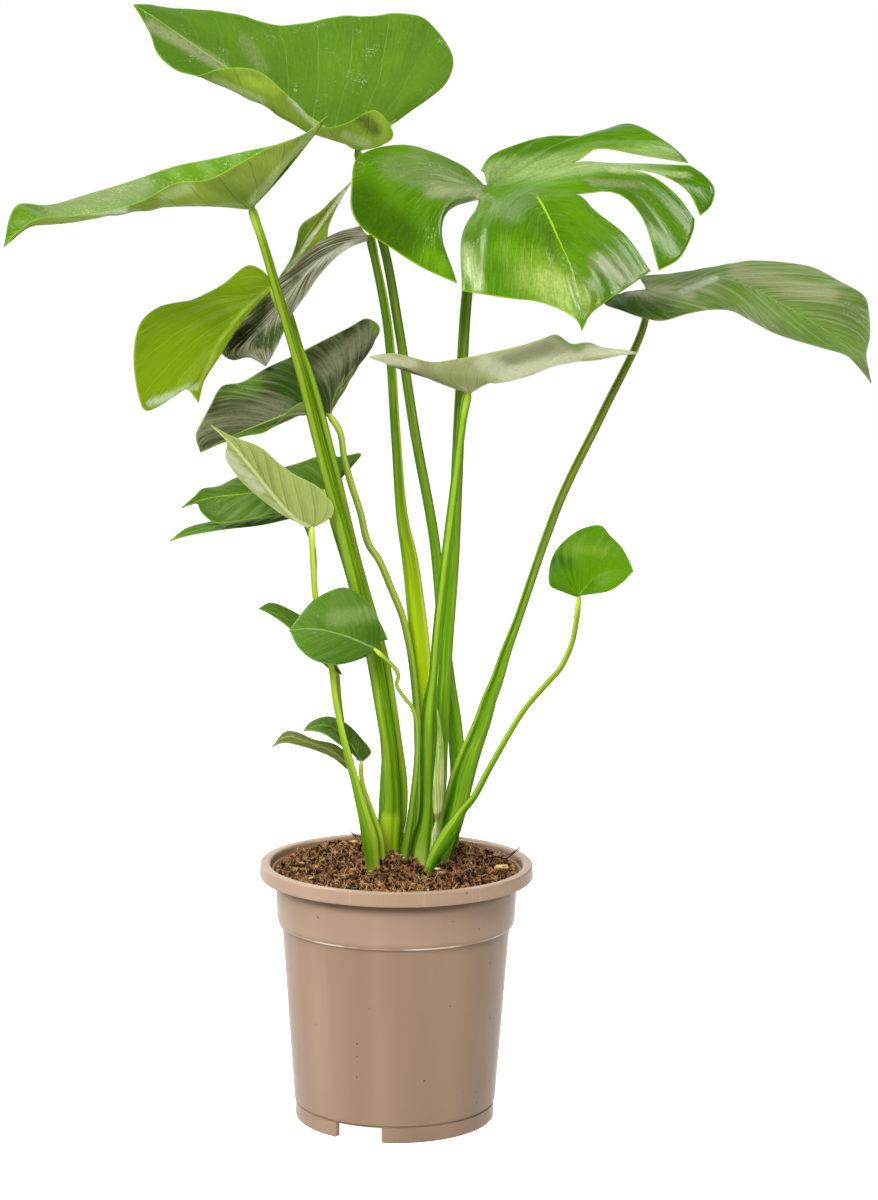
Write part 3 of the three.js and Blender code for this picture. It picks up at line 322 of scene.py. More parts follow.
# %% The list of leaves
LEAVES = [
    {"name": "top",
     "midrib": [(-30, 668, 50), (-69, 694, 45), (-119, 723, 40), (-162, 752, 35), (-180, 763, 32)],
     "left": [[(0, -24, 675, 45), (0, -9, 674, 38, -2), (0, -6, 680, 34, -3), (0, -18, 695, 28, -5),
       (0.04, -38, 686, 23, -5), (0.12, -54, 684, 19, -6), (0.22, -74, 702, 14, -12),
       (0.34, -97, 720, 12, -14), (0.46, -120, 722, 12, -11), (0.58, -138, 717, 16, -6),
       (0.7, -152, 720, 20, -2), (0.82, -164, 731, 24), (0.92, -170, 746, 28)]],
     "right": [[(0, -22, 678, 54), (0, -8, 689, 62, 2), (0, 10, 701, 72, 3), (0, 28, 712, 82, 4),
       (0, 34, 728, 90, 5), (0, 26, 744, 98, 6), (0.02, 12, 757, 104, 6), (0.06, -8, 759, 106, 6),
       (0.12, -23, 757, 102, 6), (0.18, -42, 757, 100, 5), (0.28, -66, 752, 94, 4),
       (0.36, -81, 750, 90, 4), (0.45, -97, 753, 86, 4), (0.56, -115, 758, 80, 3),
       (0.76, -151, 761, 62, 2), (0.9, -170, 763, 46, 1)]],
     "stalk": [(-30, 668, 50, 2.4), (-23, 636, 51, 2.8), (-12, 605, 52, 3.1), (-1, 548, 52, 3.3),
       (10, 480, 52, 3.5), (24, 406, 55, 3.7), (31, 340, 57, 4.2), (35, 308, 57, 4.6),
       (39, 280, 57, 5.2), (41, 259, 56, 5.6), (42, 238, 54, 5.6), (37, 186, 52, 5.4)]},
    {"name": "left",
     "midrib": [(-101, 629, 0), (-124, 631, -4), (-163, 630, -12), (-193, 625, -18), (-240, 616, -22),
       (-254, 616, -24), (-268, 602, -24)],
     "left": [[(0, -97, 634, -3), (0, -89, 645, -8, -1), (0, -74, 660, -12, -2), (0, -58, 679, -14, -2),
       (0, -50, 691, -14, -2), (0, -66, 679, -22, -5), (0, -91, 669, -30, -7),
       (0.03, -111, 658, -36, -8), (0.14, -130, 648, -40, -7), (0.27, -153, 645, -42, -6),
       (0.4, -173, 634, -42, -4), (0.53, -193, 627, -38, -2), (0.68, -220, 623, -32, -1),
       (0.85, -247, 620, -28)]],
     "right": [[(0, -94, 640, 6), (0, -76, 664, 20, -2), (0, -68, 675, 30, -4), (0.02, -91, 670, 44, -6),
       (0.12, -127, 662, 50, -6), (0.22, -151, 657, 50, -6), (0.38, -181, 647, 44, -4),
       (0.55, -212, 637, 30, -3), (0.72, -238, 630, 12, -2), (0.86, -258, 630, -6),
       (0.95, -264, 621, -18)]],
     "stalk": [(-101, 629, 0, 2.6), (-93, 605, -2, 3), (-82, 568, -3, 3.3), (-68, 521, -4, 3.6),
       (-51, 456, -4, 4.2), (-33, 391, -2, 4.9), (-16.5, 322, 4, 5.3), (-11.6, 294, 7, 5.2),
       (-7, 266, 10, 5.2), (-4.6, 238, 13, 6), (-3.6, 223, 14, 5.8), (-4.6, 209, 15, 7, 5.8),
       (-5, 195, 16, 6.4, 5.6), (-5, 178, 17, 6)]},
    {"name": "split",
     "midrib": [(58, 642, 45), (72, 643, 30), (86, 642, 12), (98, 625, -14), (108, 604, -40),
       (117, 587, -62), (123, 549, -88)],
     "left": [[(0, 53, 656, 56), (0, 59, 665, 64, 2), (0, 76, 673, 78, 3), (0, 98, 679, 90, 3),
       (0, 127, 680, 98, 5), (0, 152, 688, 104, 8), (0, 176, 677, 92, (118, 674, 74)),
       (0, 188, 668, 78, (118, 669, 66), (146, 675, 76)),
       (0.02, 193, 662, 70, (116, 662.5, 57), (131, 671, 66), (160, 667, 70))],
      [(0.05, 194, 660.5, 66, (116, 661, 55), (150, 661.5, 62)),
       (0.07, 204, 654, 62, (118, 660, 50), (152, 661, 58)),
       (0.09, 211, 645, 54, (122, 659, 46), (158, 659, 54)),
       (0.11, 209, 634, 46, (126, 658.5, 42), (164, 657, 50), (194, 647, 49)),
       (0.12, 202, 627, 38, (130, 658, 38), (167, 656, 45), (192, 644, 44))],
      [(0.15, 198, 624.5, 32, (130, 657, 33), (165, 654.6, 42), (186, 640, 38)),
       (0.17, 197, 616, 22, (128, 653, 28), (160, 648, 34)),
       (0.2, 188, 598, 2, (124, 647, 20), (156, 638, 21)),
       (0.22, 174.5, 590, -10, (118, 642, 12), (146, 641, 14), (162, 626, 6))],
      [(0.26, 169, 589.5, -16, (116, 640, 10), (134, 627, 2), (152, 613, -6)), (0.5, 156, 580, -34, 5),
       (0.68, 140, 569, -58, 4), (0.86, 128, 559, -78, 2)]],
     "left_slots": [3 / 7, 4 / 7, 2 / 7],
     "right": [[(0, 50, 650, 46), (0, 42, 656, 50, 2), (0, 25, 666, 54, 4), (0, 4, 672, 50, 6),
       (0, -20, 669, 38, 8), (0, -31, 662, 26, 10), (0, -34, 645, 8, 12), (0, -34, 629, -6, 14),
       (0, -27, 617, -18, 15), (0, -8, 604, -32, 16), (0, 13, 591, -44, 16),
       (0, 38, 580, -58, (27, 623, 0))],
      [(0.03, 41, 575, -60, (42, 616, -8)), (0.18, 55, 573, -68, 16), (0.36, 76, 570, -76, 12),
       (0.52, 93, 568, -80, 7), (0.7, 110, 562, -84, 4), (0.86, 119, 556, -87, 2)]],
     "right_slots": [1 / 7],
     "stalk": [(58, 642, 45, 3), (50, 609, 54, 3.6), (45, 575, 58, 3.8), (41, 501, 56, 4),
       (37, 391, 49, 4.5), (33.4, 336, 46, 4.7), (31.6, 300, 44, 4.8), (30.5, 262, 41, 4.6),
       (29.5, 230, 38, 4.5), (26, 208, 36, 4.4), (23, 182, 34, 4.4)]},
    {"name": "right",
     "midrib": [(167, 577, 55), (184, 579, 52), (210, 586, 50), (232, 581, 44), (248, 573, 38),
       (272, 560, 28), (297, 545, 16), (314, 534, 8), (321, 515, 0)],
     "left": [[(0, 163, 583, 62), (0, 162, 586, 74, 1), (0, 183, 588, 88, 2), (0.06, 207, 592, 94, 2),
       (0.14, 225, 595, 94, 2), (0.2, 240, 597, 90, 2), (0.3, 261, 596, 84, 2), (0.4, 279, 593, 76, 2),
       (0.5, 297, 584, 62, 2), (0.62, 315, 573, 42, 2), (0.7, 318, 562, 32, 1), (0.82, 319, 546, 18),
       (0.9, 317, 534, 8)]],
     "right": [[(0, 160, 573, 44), (0, 143, 572, 32, 1), (0, 138, 567, 20, 2), (0, 149, 563, 12, 3),
       (0, 164, 558, 8, 3), (0.03, 177, 556, 8, 3), (0.1, 195, 561, 8, 3), (0.18, 213, 564, 10, 3),
       (0.25, 225, 563, 12, 2), (0.34, 237, 557, 14, 2), (0.45, 255, 548, 16, 1), (0.62, 285, 539, 8, 1),
       (0.78, 303, 534, 4), (0.87, 308, 530, 3)]],
     "stalk": [(167, 577, 55, 2.4), (165, 553, 52, 2.6), (138, 493, 49, 2.9), (110, 433, 46, 3.1),
       (81, 347, 40, 3.2), (74.6, 329, 38, 3.8), (68.2, 308, 35, 4.6), (63, 294, 33, 5.3),
       (59, 280, 31, 6, 5.4), (54, 266, 29, 6.6, 5.6), (49, 252, 26, 7.6, 6), (44.8, 238, 24, 8.4, 6),
       (41.4, 223, 22, 8.3, 6), (38, 209, 20, 8.3, 6), (33, 190, 19, 7, 6), (30, 177, 18, 6.4, 6)]},
    {"name": "middle",
     "midrib": [(46, 506, -12), (60, 514, -8), (82, 519, -4), (99, 526, 0), (125, 532, 0),
       (161, 534, -8)],
     "left": [[(0, 38, 514, -4), (0, 20, 522, 12, 1), (0, 28, 525, 30, 2), (0, 48, 518, 38, 2),
       (0.08, 66, 513, 37, 2), (0.22, 85, 517, 34, 2), (0.4, 106, 525, 31, 2), (0.68, 137, 530, 20, 1)]],
     "right": [[(0, 39, 513, -16), (0, 15, 522, -26, 1), (0, -5, 525, -34, 1), (0, -21, 530, -42, 1),
       (0, -5, 532, -50, 2), (0, 20, 527, -58, 3), (0.05, 34, 528, -62, 3), (0.12, 60, 533, -68, 3),
       (0.22, 80, 537, -70, 3), (0.32, 94, 542, -70, 3), (0.42, 105, 546, -66, 2),
       (0.52, 116, 540, -58, 2), (0.62, 128, 541, -46, 1), (0.75, 139, 537, -34, 1),
       (0.88, 152, 536, -20)]],
     "stalk": [(46, 506, -12, 2.7), (43, 490, -12, 2.9), (38, 446, -10, 3), (30, 377, -5, 3),
       (26, 336, -1, 3), (24, 308, 2, 3.1), (22.2, 294, 4, 4.6), (21.2, 280, 6, 5.3), (21, 252, 9, 5.4),
       (20.7, 223, 11, 4.9), (20, 209, 12, 5.6), (17.8, 196, 12, 7.8, 6), (16.4, 186, 12, 8.6, 6.4),
       (16.5, 172, 12, 7.4, 6)]},
    {"name": "yellow",
     "midrib": [(-87, 575, 14), (-99, 563, 8), (-112, 546, 2), (-122, 530, -2), (-134, 511, -4),
       (-137, 498, -6)],
     "left": [[(0, -90, 573, 22), (0, -98, 569, 30, 1), (0.12, -113, 559, 38, 2),
       (0.34, -128, 543, 38, 2), (0.6, -138, 526, 28, 2), (0.84, -139, 509, 10, 1)]],
     "right": [[(0, -88, 581, 15), (0, -93, 587, 16), (0, -103, 591, 16, 1), (0, -122, 577, 12, 2),
       (0.02, -145, 566, 8, 3), (0.05, -164, 562, 2, 3), (0.1, -176, 552, -2, 3),
       (0.2, -181, 530, -8, 3), (0.36, -178, 503, -13, 2), (0.48, -173, 492, -14, 1),
       (0.68, -156, 500, -12, 1), (0.82, -146, 507, -9)]],
     "stalk": [(-87, 575, 14, 2.4), (-75, 548, 10, 2.8), (-63, 521, 7, 3), (-46, 460, 7, 3.2),
       (-29, 391, 10, 3.3), (-9.4, 322, 14, 3.3), (-4.6, 294, 17, 3.4), (-0.4, 266, 20, 3.4),
       (3.4, 238, 23, 3.6), (3.6, 216, 24, 3.6), (0.4, 195, 26, 3.6), (-1, 181, 27, 3.6)]},
    {"name": "strap",
     "midrib": [(-21, 611, 42), (-48, 600, 44), (-68, 581, 46), (-87, 555, 42), (-99, 538, 34),
       (-91, 523, 30)],
     "left": [[(0, -22, 608, 38), (0.08, -35, 603, 36, 1), (0.2, -45, 596, 35, 2),
       (0.34, -57, 583, 34, 2), (0.44, -62, 575, 34, 2), (0.62, -75, 556, 34, 2),
       (0.74, -79, 547, 32, 1), (0.9, -85, 534, 30)]],
     "right": [[(0, -28, 618, 46), (0.05, -45, 613, 50, 1), (0.16, -62, 602, 53, 1), (0.3, -78, 586, 55),
       (0.42, -94, 573, 55, -2), (0.54, -106, 556, 52, -5), (0.66, -117, 543, 45, -6),
       (0.76, -122, 533, 36, -5), (0.85, -114, 527, 28, -2), (0.93, -103, 529, 27)]],
     "stalk": [(-21, 611, 42, 2.8), (-9, 552, 44, 3.2), (-3, 480, 46, 3.4), (2, 421, 46, 4.2),
       (7.6, 391, 45, 5.7), (13, 349, 43, 6.7, 5.6), (15.2, 329, 42, 6.9, 5.6),
       (17.2, 294, 41, 6.6, 5.6), (18, 262, 40, 6.2), (18.4, 224, 40, 5.8), (15.4, 202, 42, 5.8),
       (14, 183, 44, 5.6)]},
    {"name": "upright",
     "midrib": [(-83, 579, 62), (-68, 605, 60), (-55, 625, 62), (-34, 647, 62)],
     "left": [[(0, -82, 584, 60), (0.1, -76, 592, 57, 1), (0.25, -71, 606, 54, 2),
       (0.42, -68, 618, 52, 2), (0.66, -54, 628, 55, 1), (0.84, -47, 635, 59)]],
     "right": [[(0, -75, 584, 68), (0.25, -58, 599, 72, 2), (0.45, -50, 610, 72, 2),
       (0.6, -49, 617, 70, 1), (0.82, -42, 633, 66)]],
     "stalk": [(-83, 579, 62, 2), (-74, 555, 60, 2.2), (-51, 473, 57, 2.4), (-32, 405, 56, 2.6),
       (-16, 322, 56, 2.8), (-5, 231, 57, 3.2), (-8, 184, 58, 3.4)]},
    {"name": "dark",
     "midrib": [(-48, 490, 18), (-68, 493, 20), (-88, 486, 15), (-112, 476, 8), (-136, 464, 0)],
     "left": [[(0, -57, 496, 16, -2), (0.06, -66, 499, 13, -4), (0.2, -75, 494, 8, -4),
       (0.34, -84, 484, 3, -2), (0.5, -92, 478, 0), (0.68, -106, 475, -2), (0.85, -126, 468, -2)]],
     "right": [[(0, -46, 499, 20), (0, -41, 511, 24, 1), (0, -32, 527, 30, 2), (0, -14, 549, 35, 2),
       (0, -23, 556, 40, 3), (0, -35, 550, 42, 3), (0.03, -56, 539, 43, 3), (0.1, -73, 530, 42, 3),
       (0.2, -92, 521, 39, 3), (0.32, -108, 512, 35, 3), (0.42, -121, 509, 30, 2),
       (0.55, -129, 496, 20, 1), (0.68, -134, 487, 12, 1), (0.85, -139, 475, 4)]],
     "stalk": [(-48, 490, 18, 2), (-41, 479, 17, 2.1), (-38, 462, 16, 2.3), (-33, 443, 18, 2.4),
       (-27, 425, 20, 2.4), (-21, 402, 23, 2.5), (-13.7, 391, 25, 2.5), (-4.6, 370, 27, 2.5),
       (2.4, 353, 28, 2.5), (6, 339, 29, 2.5), (8.6, 326, 29, 2.5), (12.5, 294, 29, 2.6),
       (14.5, 252, 28, 2.8), (14, 216, 27, 3), (11, 181, 27, 3.2)]},
    {"name": "pale",
     "midrib": [(-60, 413, -20), (-70, 418, -22), (-87, 436, -28), (-101, 454, -32), (-115, 470, -32),
       (-129, 483, -28)],
     "left": [[(0, -56, 414, -21), (0, -46, 421, -16), (0, -45, 428, -14, 1), (0, -49, 434, -13, 2),
       (0.06, -57, 442, -14, 2), (0.22, -71, 449, -18, 2), (0.38, -82, 457, -21, 2),
       (0.58, -95, 468, -25, 1), (0.76, -108, 473, -29), (0.88, -116, 476, -31)]],
     "right": [[(0, -64, 415, -18), (0.12, -75, 419, -14, 1), (0.28, -87, 427, -14, 1),
       (0.46, -101, 438, -18, 1), (0.6, -110, 447, -22, 1), (0.78, -119, 462, -28),
       (0.88, -117, 471, -31)]],
     "stalk": [(-60, 413, -20, 1.8), (-59, 391, -14, 2), (-57, 364, -6, 2.1), (-52, 335, -5, 2.2),
       (-46.5, 319, -9, 2.2), (-43, 294, -13, 2.2), (-38.8, 273, -16, 2.2), (-35.3, 259, -17, 2.5),
       (-29.6, 238, -17, 2.9), (-25.7, 223, -16, 3.6), (-21.8, 209, -15, 4.6), (-18.8, 196, -13, 5.7, 5),
       (-17.2, 184, -11, 5.1, 4.6), (-16, 169, -9, 4.4)]},
    {"name": "green",
     "midrib": [(-51, 438, 34), (-75, 440, 32), (-102, 436, 28), (-129, 433, 20), (-149, 426, 10)],
     "left": [[(0, -48, 430, 26), (0, -61, 421, 14, 1), (0.15, -75, 421, 8, 2), (0.25, -84, 423, 6, 2),
       (0.4, -98, 419, 4, 2), (0.58, -116, 416, 4, 2), (0.7, -127, 416, 6, 1), (0.82, -136, 424, 10),
       (0.9, -138, 429, 12)]],
     "right": [[(0, -42, 444, 35), (0, -37, 450, 36), (0, -26, 464, 38, 1), (0, -40, 462, 41, 2),
       (0.02, -55, 462, 43, 2), (0.1, -67, 458, 43, 2), (0.22, -81, 454, 43, 2),
       (0.46, -111, 447, 40, 2), (0.62, -123, 441, 33, 1), (0.78, -135, 439, 24),
       (0.87, -139, 435, 18)]],
     "stalk": [(-51, 438, 34, 1.8), (-45, 415, 31, 2), (-36, 386, 33, 2.2), (-26, 350, 38, 2.4),
       (-12, 294, 42, 2.4), (-8.5, 262, 42, 2.4), (-9.6, 238, 40, 2.4), (-10.4, 216, 38, 2.5),
       (-11, 195, 36, 2.6), (-9, 182, 36, 2.6)]},
    {"name": "thin",
     "midrib": [(-68, 424, 36), (-95, 419, 32), (-124, 414, 26), (-143, 409, 18), (-157, 403, 12)],
     "left": [[(0, -74, 419, 28), (0.22, -95, 414, 20, 1), (0.52, -120, 411, 14, 1),
       (0.8, -143, 407, 13)]],
     "right": [[(0, -72, 427, 44), (0.28, -100, 423, 44, 1), (0.55, -128, 417, 36, 1),
       (0.8, -146, 412, 23)]],
     "stalk": [(-68, 424, 36, 1.6), (-59, 401, 34, 1.7), (-57, 363, 31, 1.7), (-46.5, 319, 28, 1.8),
       (-38.8, 273, 29, 1.8), (-29.6, 238, 30, 1.9), (-22, 209, 31, 2), (-17, 178, 31, 2)]},
    {"name": "front",
     "midrib": [(-16, 329, -22), (-36, 338, -28), (-57, 343, -30), (-75, 342, -28)],
     "left": [[(0, -21, 324, -27), (0, -32, 320, -36, 1), (0.12, -43, 318, -42, 2),
       (0.4, -58, 321, -42, 2), (0.72, -69, 330, -35, 1)]],
     "right": [[(0, -7, 336, -20), (0, -10, 343, -17, 1), (0.05, -23, 364, -14, 2),
       (0.25, -37, 372, -14, 2), (0.6, -57, 364, -17, 2), (0.8, -64, 357, -21, 1)]],
     "stalk": [(-16, 329, -22, 1.4), (-7, 321, -20, 1.4), (-0.8, 314, -19, 1.4), (0.4, 309.5, -18, 1.4),
       (-1.1, 305, -18, 1.3), (4.2, 296, -17, 1.3), (9.8, 289, -16, 1.4), (12.7, 280, -15, 1.5),
       (13.5, 266, -13, 1.7), (13, 248, -11, 1.9), (11.7, 234, -9, 2), (9.8, 216, -6, 2.2),
       (7.4, 199, -4, 2.5), (5.4, 186, -2, 2.8), (5, 175, 0, 2.8)]},
    {"name": "hidden",
     "midrib": [(-43, 318, 8), (-60, 336, 9), (-78, 350, 11), (-96, 357, 15)],
     "left": [[(0, -38, 311, 5), (0, -46, 314, 2, 1), (0.1, -54, 321, 1, 1), (0.36, -64, 331, 1, 1),
       (0.64, -76, 344, 4, 1), (0.84, -87, 352, 9)]],
     "right": [[(0, -40, 326, 13), (0.2, -50, 341, 19, 1), (0.5, -68, 353, 22, 1), (0.8, -88, 361, 19)]],
     "stalk": [(-43, 318, 8, 1.4), (-41.5, 308, 10, 1.5), (-40.2, 294, 14, 1.5), (-38.4, 280, 18, 1.5),
       (-35, 259, 21, 1.6), (-29, 238, 22, 1.7), (-21.5, 207, 21, 1.8), (-17, 177, 20, 2)]},
    {"name": "upper_small",
     "midrib": [(-25, 250, 4), (-35, 266, 2), (-50, 276, 0), (-65, 272, -4)],
     "left": [[(0, -30, 255, -3), (0.4, -40, 262, -7, 1), (0.7, -52, 270, -8, 1)]],
     "right": [[(0, -22, 252, 8), (0, -18, 257, 10), (0.2, -24, 266, 12, 1), (0.5, -35, 277, 12, 1),
       (0.75, -48, 282, 8, 1), (0.9, -60, 278, 2)]],
     "stalk": [(-25, 250, 4, 1.4), (-24.6, 238, 2, 1.5), (-20, 223, -2, 1.6), (-15, 209, -4, 1.8),
       (-11.2, 196, -5, 2), (-9.8, 172, -4, 2.5)]},
    {"name": "lower_small",
     "midrib": [(-31, 245, 12), (-46, 257, 10), (-64, 264, 6), (-76, 268, 3), (-87, 260, 0)],
     "left": [[(0, -30, 251, 15), (0.22, -42, 262, 16, 1), (0.5, -58, 266, 14, 1), (0.75, -70, 271, 9),
       (0.9, -78, 271, 4)]],
     "right": [[(0, -35, 245, 8), (0.25, -46, 254, 4, 1), (0.6, -66, 261, 1, 1), (0.85, -79, 263, 0)]],
     "stalk": [(-31, 245, 12, 1.4), (-28, 237, 8, 1.5), (-24, 223, 4, 1.6), (-19, 204, 3, 1.8),
       (-15, 174, 3, 2)]},
    {"name": "heart",
     "midrib": [(124, 366, -2), (134, 380, -4), (148, 385, -10), (161, 385, -18)],
     "left": [[(0, 119, 370, -3), (0, 111, 371, -5), (0, 104, 374, -6, 1), (0, 103, 384, -1, 1),
       (0, 106, 396, 8, 2), (0, 115, 407, 16, 2), (0.05, 126, 414, 20, 2), (0.2, 138, 416, 18, 2),
       (0.5, 145, 409, 9, 1), (0.76, 153, 401, -2, 1), (0.9, 157, 394, -9)]],
     "right": [[(0, 128, 368, -6), (0.15, 136, 369, -14, 1), (0.42, 145, 371, -20, 1),
       (0.76, 154, 377, -22)]],
     "stalk": [(124, 366, -2, 1.7), (122.4, 350, -5, 1.9), (119.5, 334, -6, 1.9), (112, 317, -8, 2),
       (103.5, 307, -10, 2), (87, 287, -12, 2), (64.2, 247, -14, 2.2), (53.4, 226, -14, 2.4),
       (46.2, 217, -14, 2.8), (40.4, 207, -14, 4.4, 3.4), (34.9, 198, -14, 5.4, 3.4),
       (30, 190, -14, 5, 3.3), (26, 183, -14, 4, 3.2), (21, 169, -14, 3.2)]},
]


def seen(point):
    """From a point as seen from the front to its place in the frame, in metres."""
    across, height, behind = point
    scale = (EYE_DISTANCE + behind) / EYE_DISTANCE
    return POT_AXIS + MM * np.array([across * scale, behind, EYE_HEIGHT + (height - EYE_HEIGHT) * scale])


print("leaves", len(LEAVES))

# %% [markdown]
# ## Smooth lines through points
# The solids run centripetal Catmull-Rom curves through their points, because such a curve passes through
# every point and never loops. The same curve is used here, in finer steps, so each fine piece follows
# its solid.

# %% Curves
SMALLEST = 1e-7


def hermite(p0, p1, p2, p3, t):
    """Between p1 and p2 at t, for points or for whole rows of points."""
    spans = (p1 - p0, p2 - p1, p3 - p2)
    gaps = [np.sqrt(np.linalg.norm(span, axis=-1, keepdims=True)) for span in spans]
    d1 = np.where(gaps[1] < SMALLEST, 1.0, gaps[1])
    d0, d2 = (np.where(gap < SMALLEST, d1, gap) for gap in (gaps[0], gaps[2]))
    start = ((p1 - p0) / d0 - (p2 - p0) / (d0 + d1) + (p2 - p1) / d1) * d1
    end = ((p2 - p1) / d1 - (p3 - p1) / (d1 + d2) + (p3 - p2) / d2) * d1
    turn = p2 - p1
    return p1 + start * t + (3 * turn - 2 * start - end) * t**2 + (start + end - 2 * turn) * t**3


def smooth_line(points, steps=24):
    """A fine line through the points, with so many steps between each two."""
    points = [np.asarray(p, float) for p in points]
    padded = [2 * points[0] - points[1], *points, 2 * points[-1] - points[-2]]
    shares = np.arange(steps) / steps
    line = [hermite(*padded[i:i + 4], t) for i in range(len(points) - 1) for t in shares]
    return np.array([*line, points[-1]])


def along_line(line, shares):
    """The points at these shares of the line's length."""
    lengths = np.concatenate([[0], np.cumsum(np.linalg.norm(np.diff(line, axis=0), axis=1))])
    places = np.asarray(shares) * lengths[-1]
    return np.stack([np.interp(places, lengths, line[:, k]) for k in range(3)], -1)


# %% [markdown]
# ## Blades
# Each side of a blade is a grid: ribs run outwards from the midrib, and between two listed ribs finer ones
# are placed on smooth curves. Where two lobes share a rib, a slot opens from the given share outwards, and
# its closed end is rounded, as the holes of a monstera are. The grid also gives every point its place in
# the leaf's own pattern: how many side veins along, how far out, and how far it is from the midrib and
# from the nearest edge. The veins, the pale margin and the quilting between the veins all read that.

# %% One side of a blade
ROWS = 26
MARGIN_STEP = 2.6 * MM
SLOT_ROUND = 0.12
A_BIT_ON = 0.01
even = np.linspace(0, 1, ROWS + 1)
SHARES = 0.55 * even + 0.45 * (1 - np.cos(np.pi * even)) / 2


def listed_ribs(leaf, side, midrib):
    """The ribs of the list as rows of points, with their lobes and where they leave the midrib."""
    grid, lobes, starts = [], [], []
    for number, lobe in enumerate(leaf[side]):
        for along, across, height, behind, *middle in lobe:
            start, ahead_of = along_line(midrib, [along, min(along + A_BIT_ON, 1)])
            end = seen((across, height, behind))
            if middle and isinstance(middle[0], tuple):
                through = [seen(p) for p in middle]
            else:
                bulge = middle[0] * MM if middle else 0
                upper = np.cross(ahead_of - start, end - start)
                upper /= max(np.linalg.norm(upper), SMALLEST)
                through = [(start + end) / 2 + upper * bulge * (1 if side == "left" else -1)]
            grid.append(along_line(smooth_line([start, *through, end]), SHARES))
            lobes.append(number)
            starts.append(along)
    tip = np.array([along_line(midrib, [1])[0], seen(leaf["midrib"][-1])])
    grid.append(along_line(tip, SHARES))
    return np.array(grid), [*lobes, lobes[-1]], [*starts, 1]


def close_slots(grid, lobes, starts, slots):
    """Lets neighbouring lobes share their rib up to the slot, and rounds the slot's closed end."""
    shut = np.zeros((len(slots), ROWS + 1), bool)
    for number, start in enumerate(slots):
        before = max(i for i, lobe in enumerate(lobes) if lobe == number)
        after = before + 1
        starts[before] = starts[after] = (starts[before] + starts[after]) / 2
        shut[number] = SHARES <= start
        opened = np.sqrt(np.clip((SHARES - start) / SLOT_ROUND, 0, 1))[:, None]
        shared = (grid[before] + grid[after]) / 2
        grid[before] = shared + (grid[before] - shared) * opened
        grid[after] = shared + (grid[after] - shared) * opened
    return shut


def lobe_values(number, lobe, shut, sweep):
    """One lobe's ribs as a grid of points, with what the pattern needs to know of each."""
    points, alongs, patterns = lobe
    points = np.array(points)
    rib_steps = np.linalg.norm(np.diff(points, axis=1), axis=2)
    out = np.concatenate([np.zeros((len(points), 1)), np.cumsum(rib_steps, axis=1)], axis=1)
    across = np.linalg.norm(np.diff(points, axis=0), axis=2)
    across = np.concatenate([np.zeros((1, ROWS + 1)), np.cumsum(across, axis=0)])
    edge = out[:, -1:] - out
    if number > 0:
        edge = np.where(shut[number - 1], edge, np.minimum(edge, across))
    if number < len(shut):
        edge = np.where(shut[number], edge, np.minimum(edge, across[-1] - across))
    pace = np.gradient(across, np.array(patterns), axis=0)
    pace = 1 / np.hypot(1 / np.maximum(pace, SMALLEST), sweep / np.maximum(out[:, -1:], SMALLEST))
    swept = np.array(patterns)[:, None] - sweep * SHARES
    return {"points": points, "along": alongs, "pattern": swept, "out": out, "edge": edge, "pace": pace}


# %% All the lobes of one side
def blade_side(leaf, side, midrib, vein_gap, sweep):
    """All the fine ribs of one side, as a list of lobes with their points and pattern values."""
    grid, lobes, starts = listed_ribs(leaf, side, midrib)
    shut = close_slots(grid, lobes, starts, leaf.get(side + "_slots", []))
    count = len(grid)
    open_before = np.ones((count, ROWS + 1), bool)
    open_after = np.ones((count, ROWS + 1), bool)
    for i in range(1, count):
        joined = lobes[i] == lobes[i - 1]
        open_before[i] = False if joined else ~shut[lobes[i - 1]]
        open_after[i - 1] = open_before[i]
    made = {number: ([], [], []) for number in set(lobes)}
    pattern = 0.0
    middle_row = ROWS * 2 // 3
    for i in range(count - 1):
        if lobes[i] != lobes[i + 1]:
            continue
        back = i - 1 if i > 0 and lobes[i - 1] == lobes[i] else max(i - 2, 0)
        on = i + 2 if i + 2 < count and lobes[i + 2] == lobes[i + 1] else min(i + 3, count - 1)
        p0 = np.where(open_before[i][:, None], 2 * grid[i] - grid[i + 1], grid[back])
        p3 = np.where(open_after[i + 1][:, None], 2 * grid[i + 1] - grid[i], grid[on])
        widest = np.linalg.norm(grid[i + 1] - grid[i], axis=1).max()
        steps = max(2, math.ceil(widest / MARGIN_STEP))
        gap = np.linalg.norm(grid[i + 1][middle_row] - grid[i][middle_row]) / vein_gap
        last_of_lobe = i + 2 >= count or lobes[i + 2] != lobes[i + 1]
        points, alongs, patterns = made[lobes[i]]
        for step in range(steps + (1 if last_of_lobe else 0)):
            t = step / steps
            rib = hermite(p0, grid[i], grid[i + 1], p3, t)
            along = starts[i] + (starts[i + 1] - starts[i]) * t
            rib[0] = along_line(midrib, [along])[0]
            points.append(rib)
            alongs.append(along)
            patterns.append(pattern + gap * t)
        pattern += gap
    return [lobe_values(number, lobe, shut, sweep) for number, lobe in sorted(made.items())]


# %% [markdown]
# ## Joining the two sides
# The first row of each side is stitched to a line of points on the midrib, triangle by triangle, always
# stepping along whichever line is behind. Then the sheet gets two faces and a rim. Both faces are split
# into the same triangles, so the thin sheet never cuts through itself, and a point attribute tells the
# upper face from the lower one, which is paler on a monstera.

# %% A whole blade
BLADE_THICKNESS = 0.7 * MM
KEY_STEP = 1e-6
SIDE_SHIFT = 200.0
SPINE_EDGE = 20 * MM


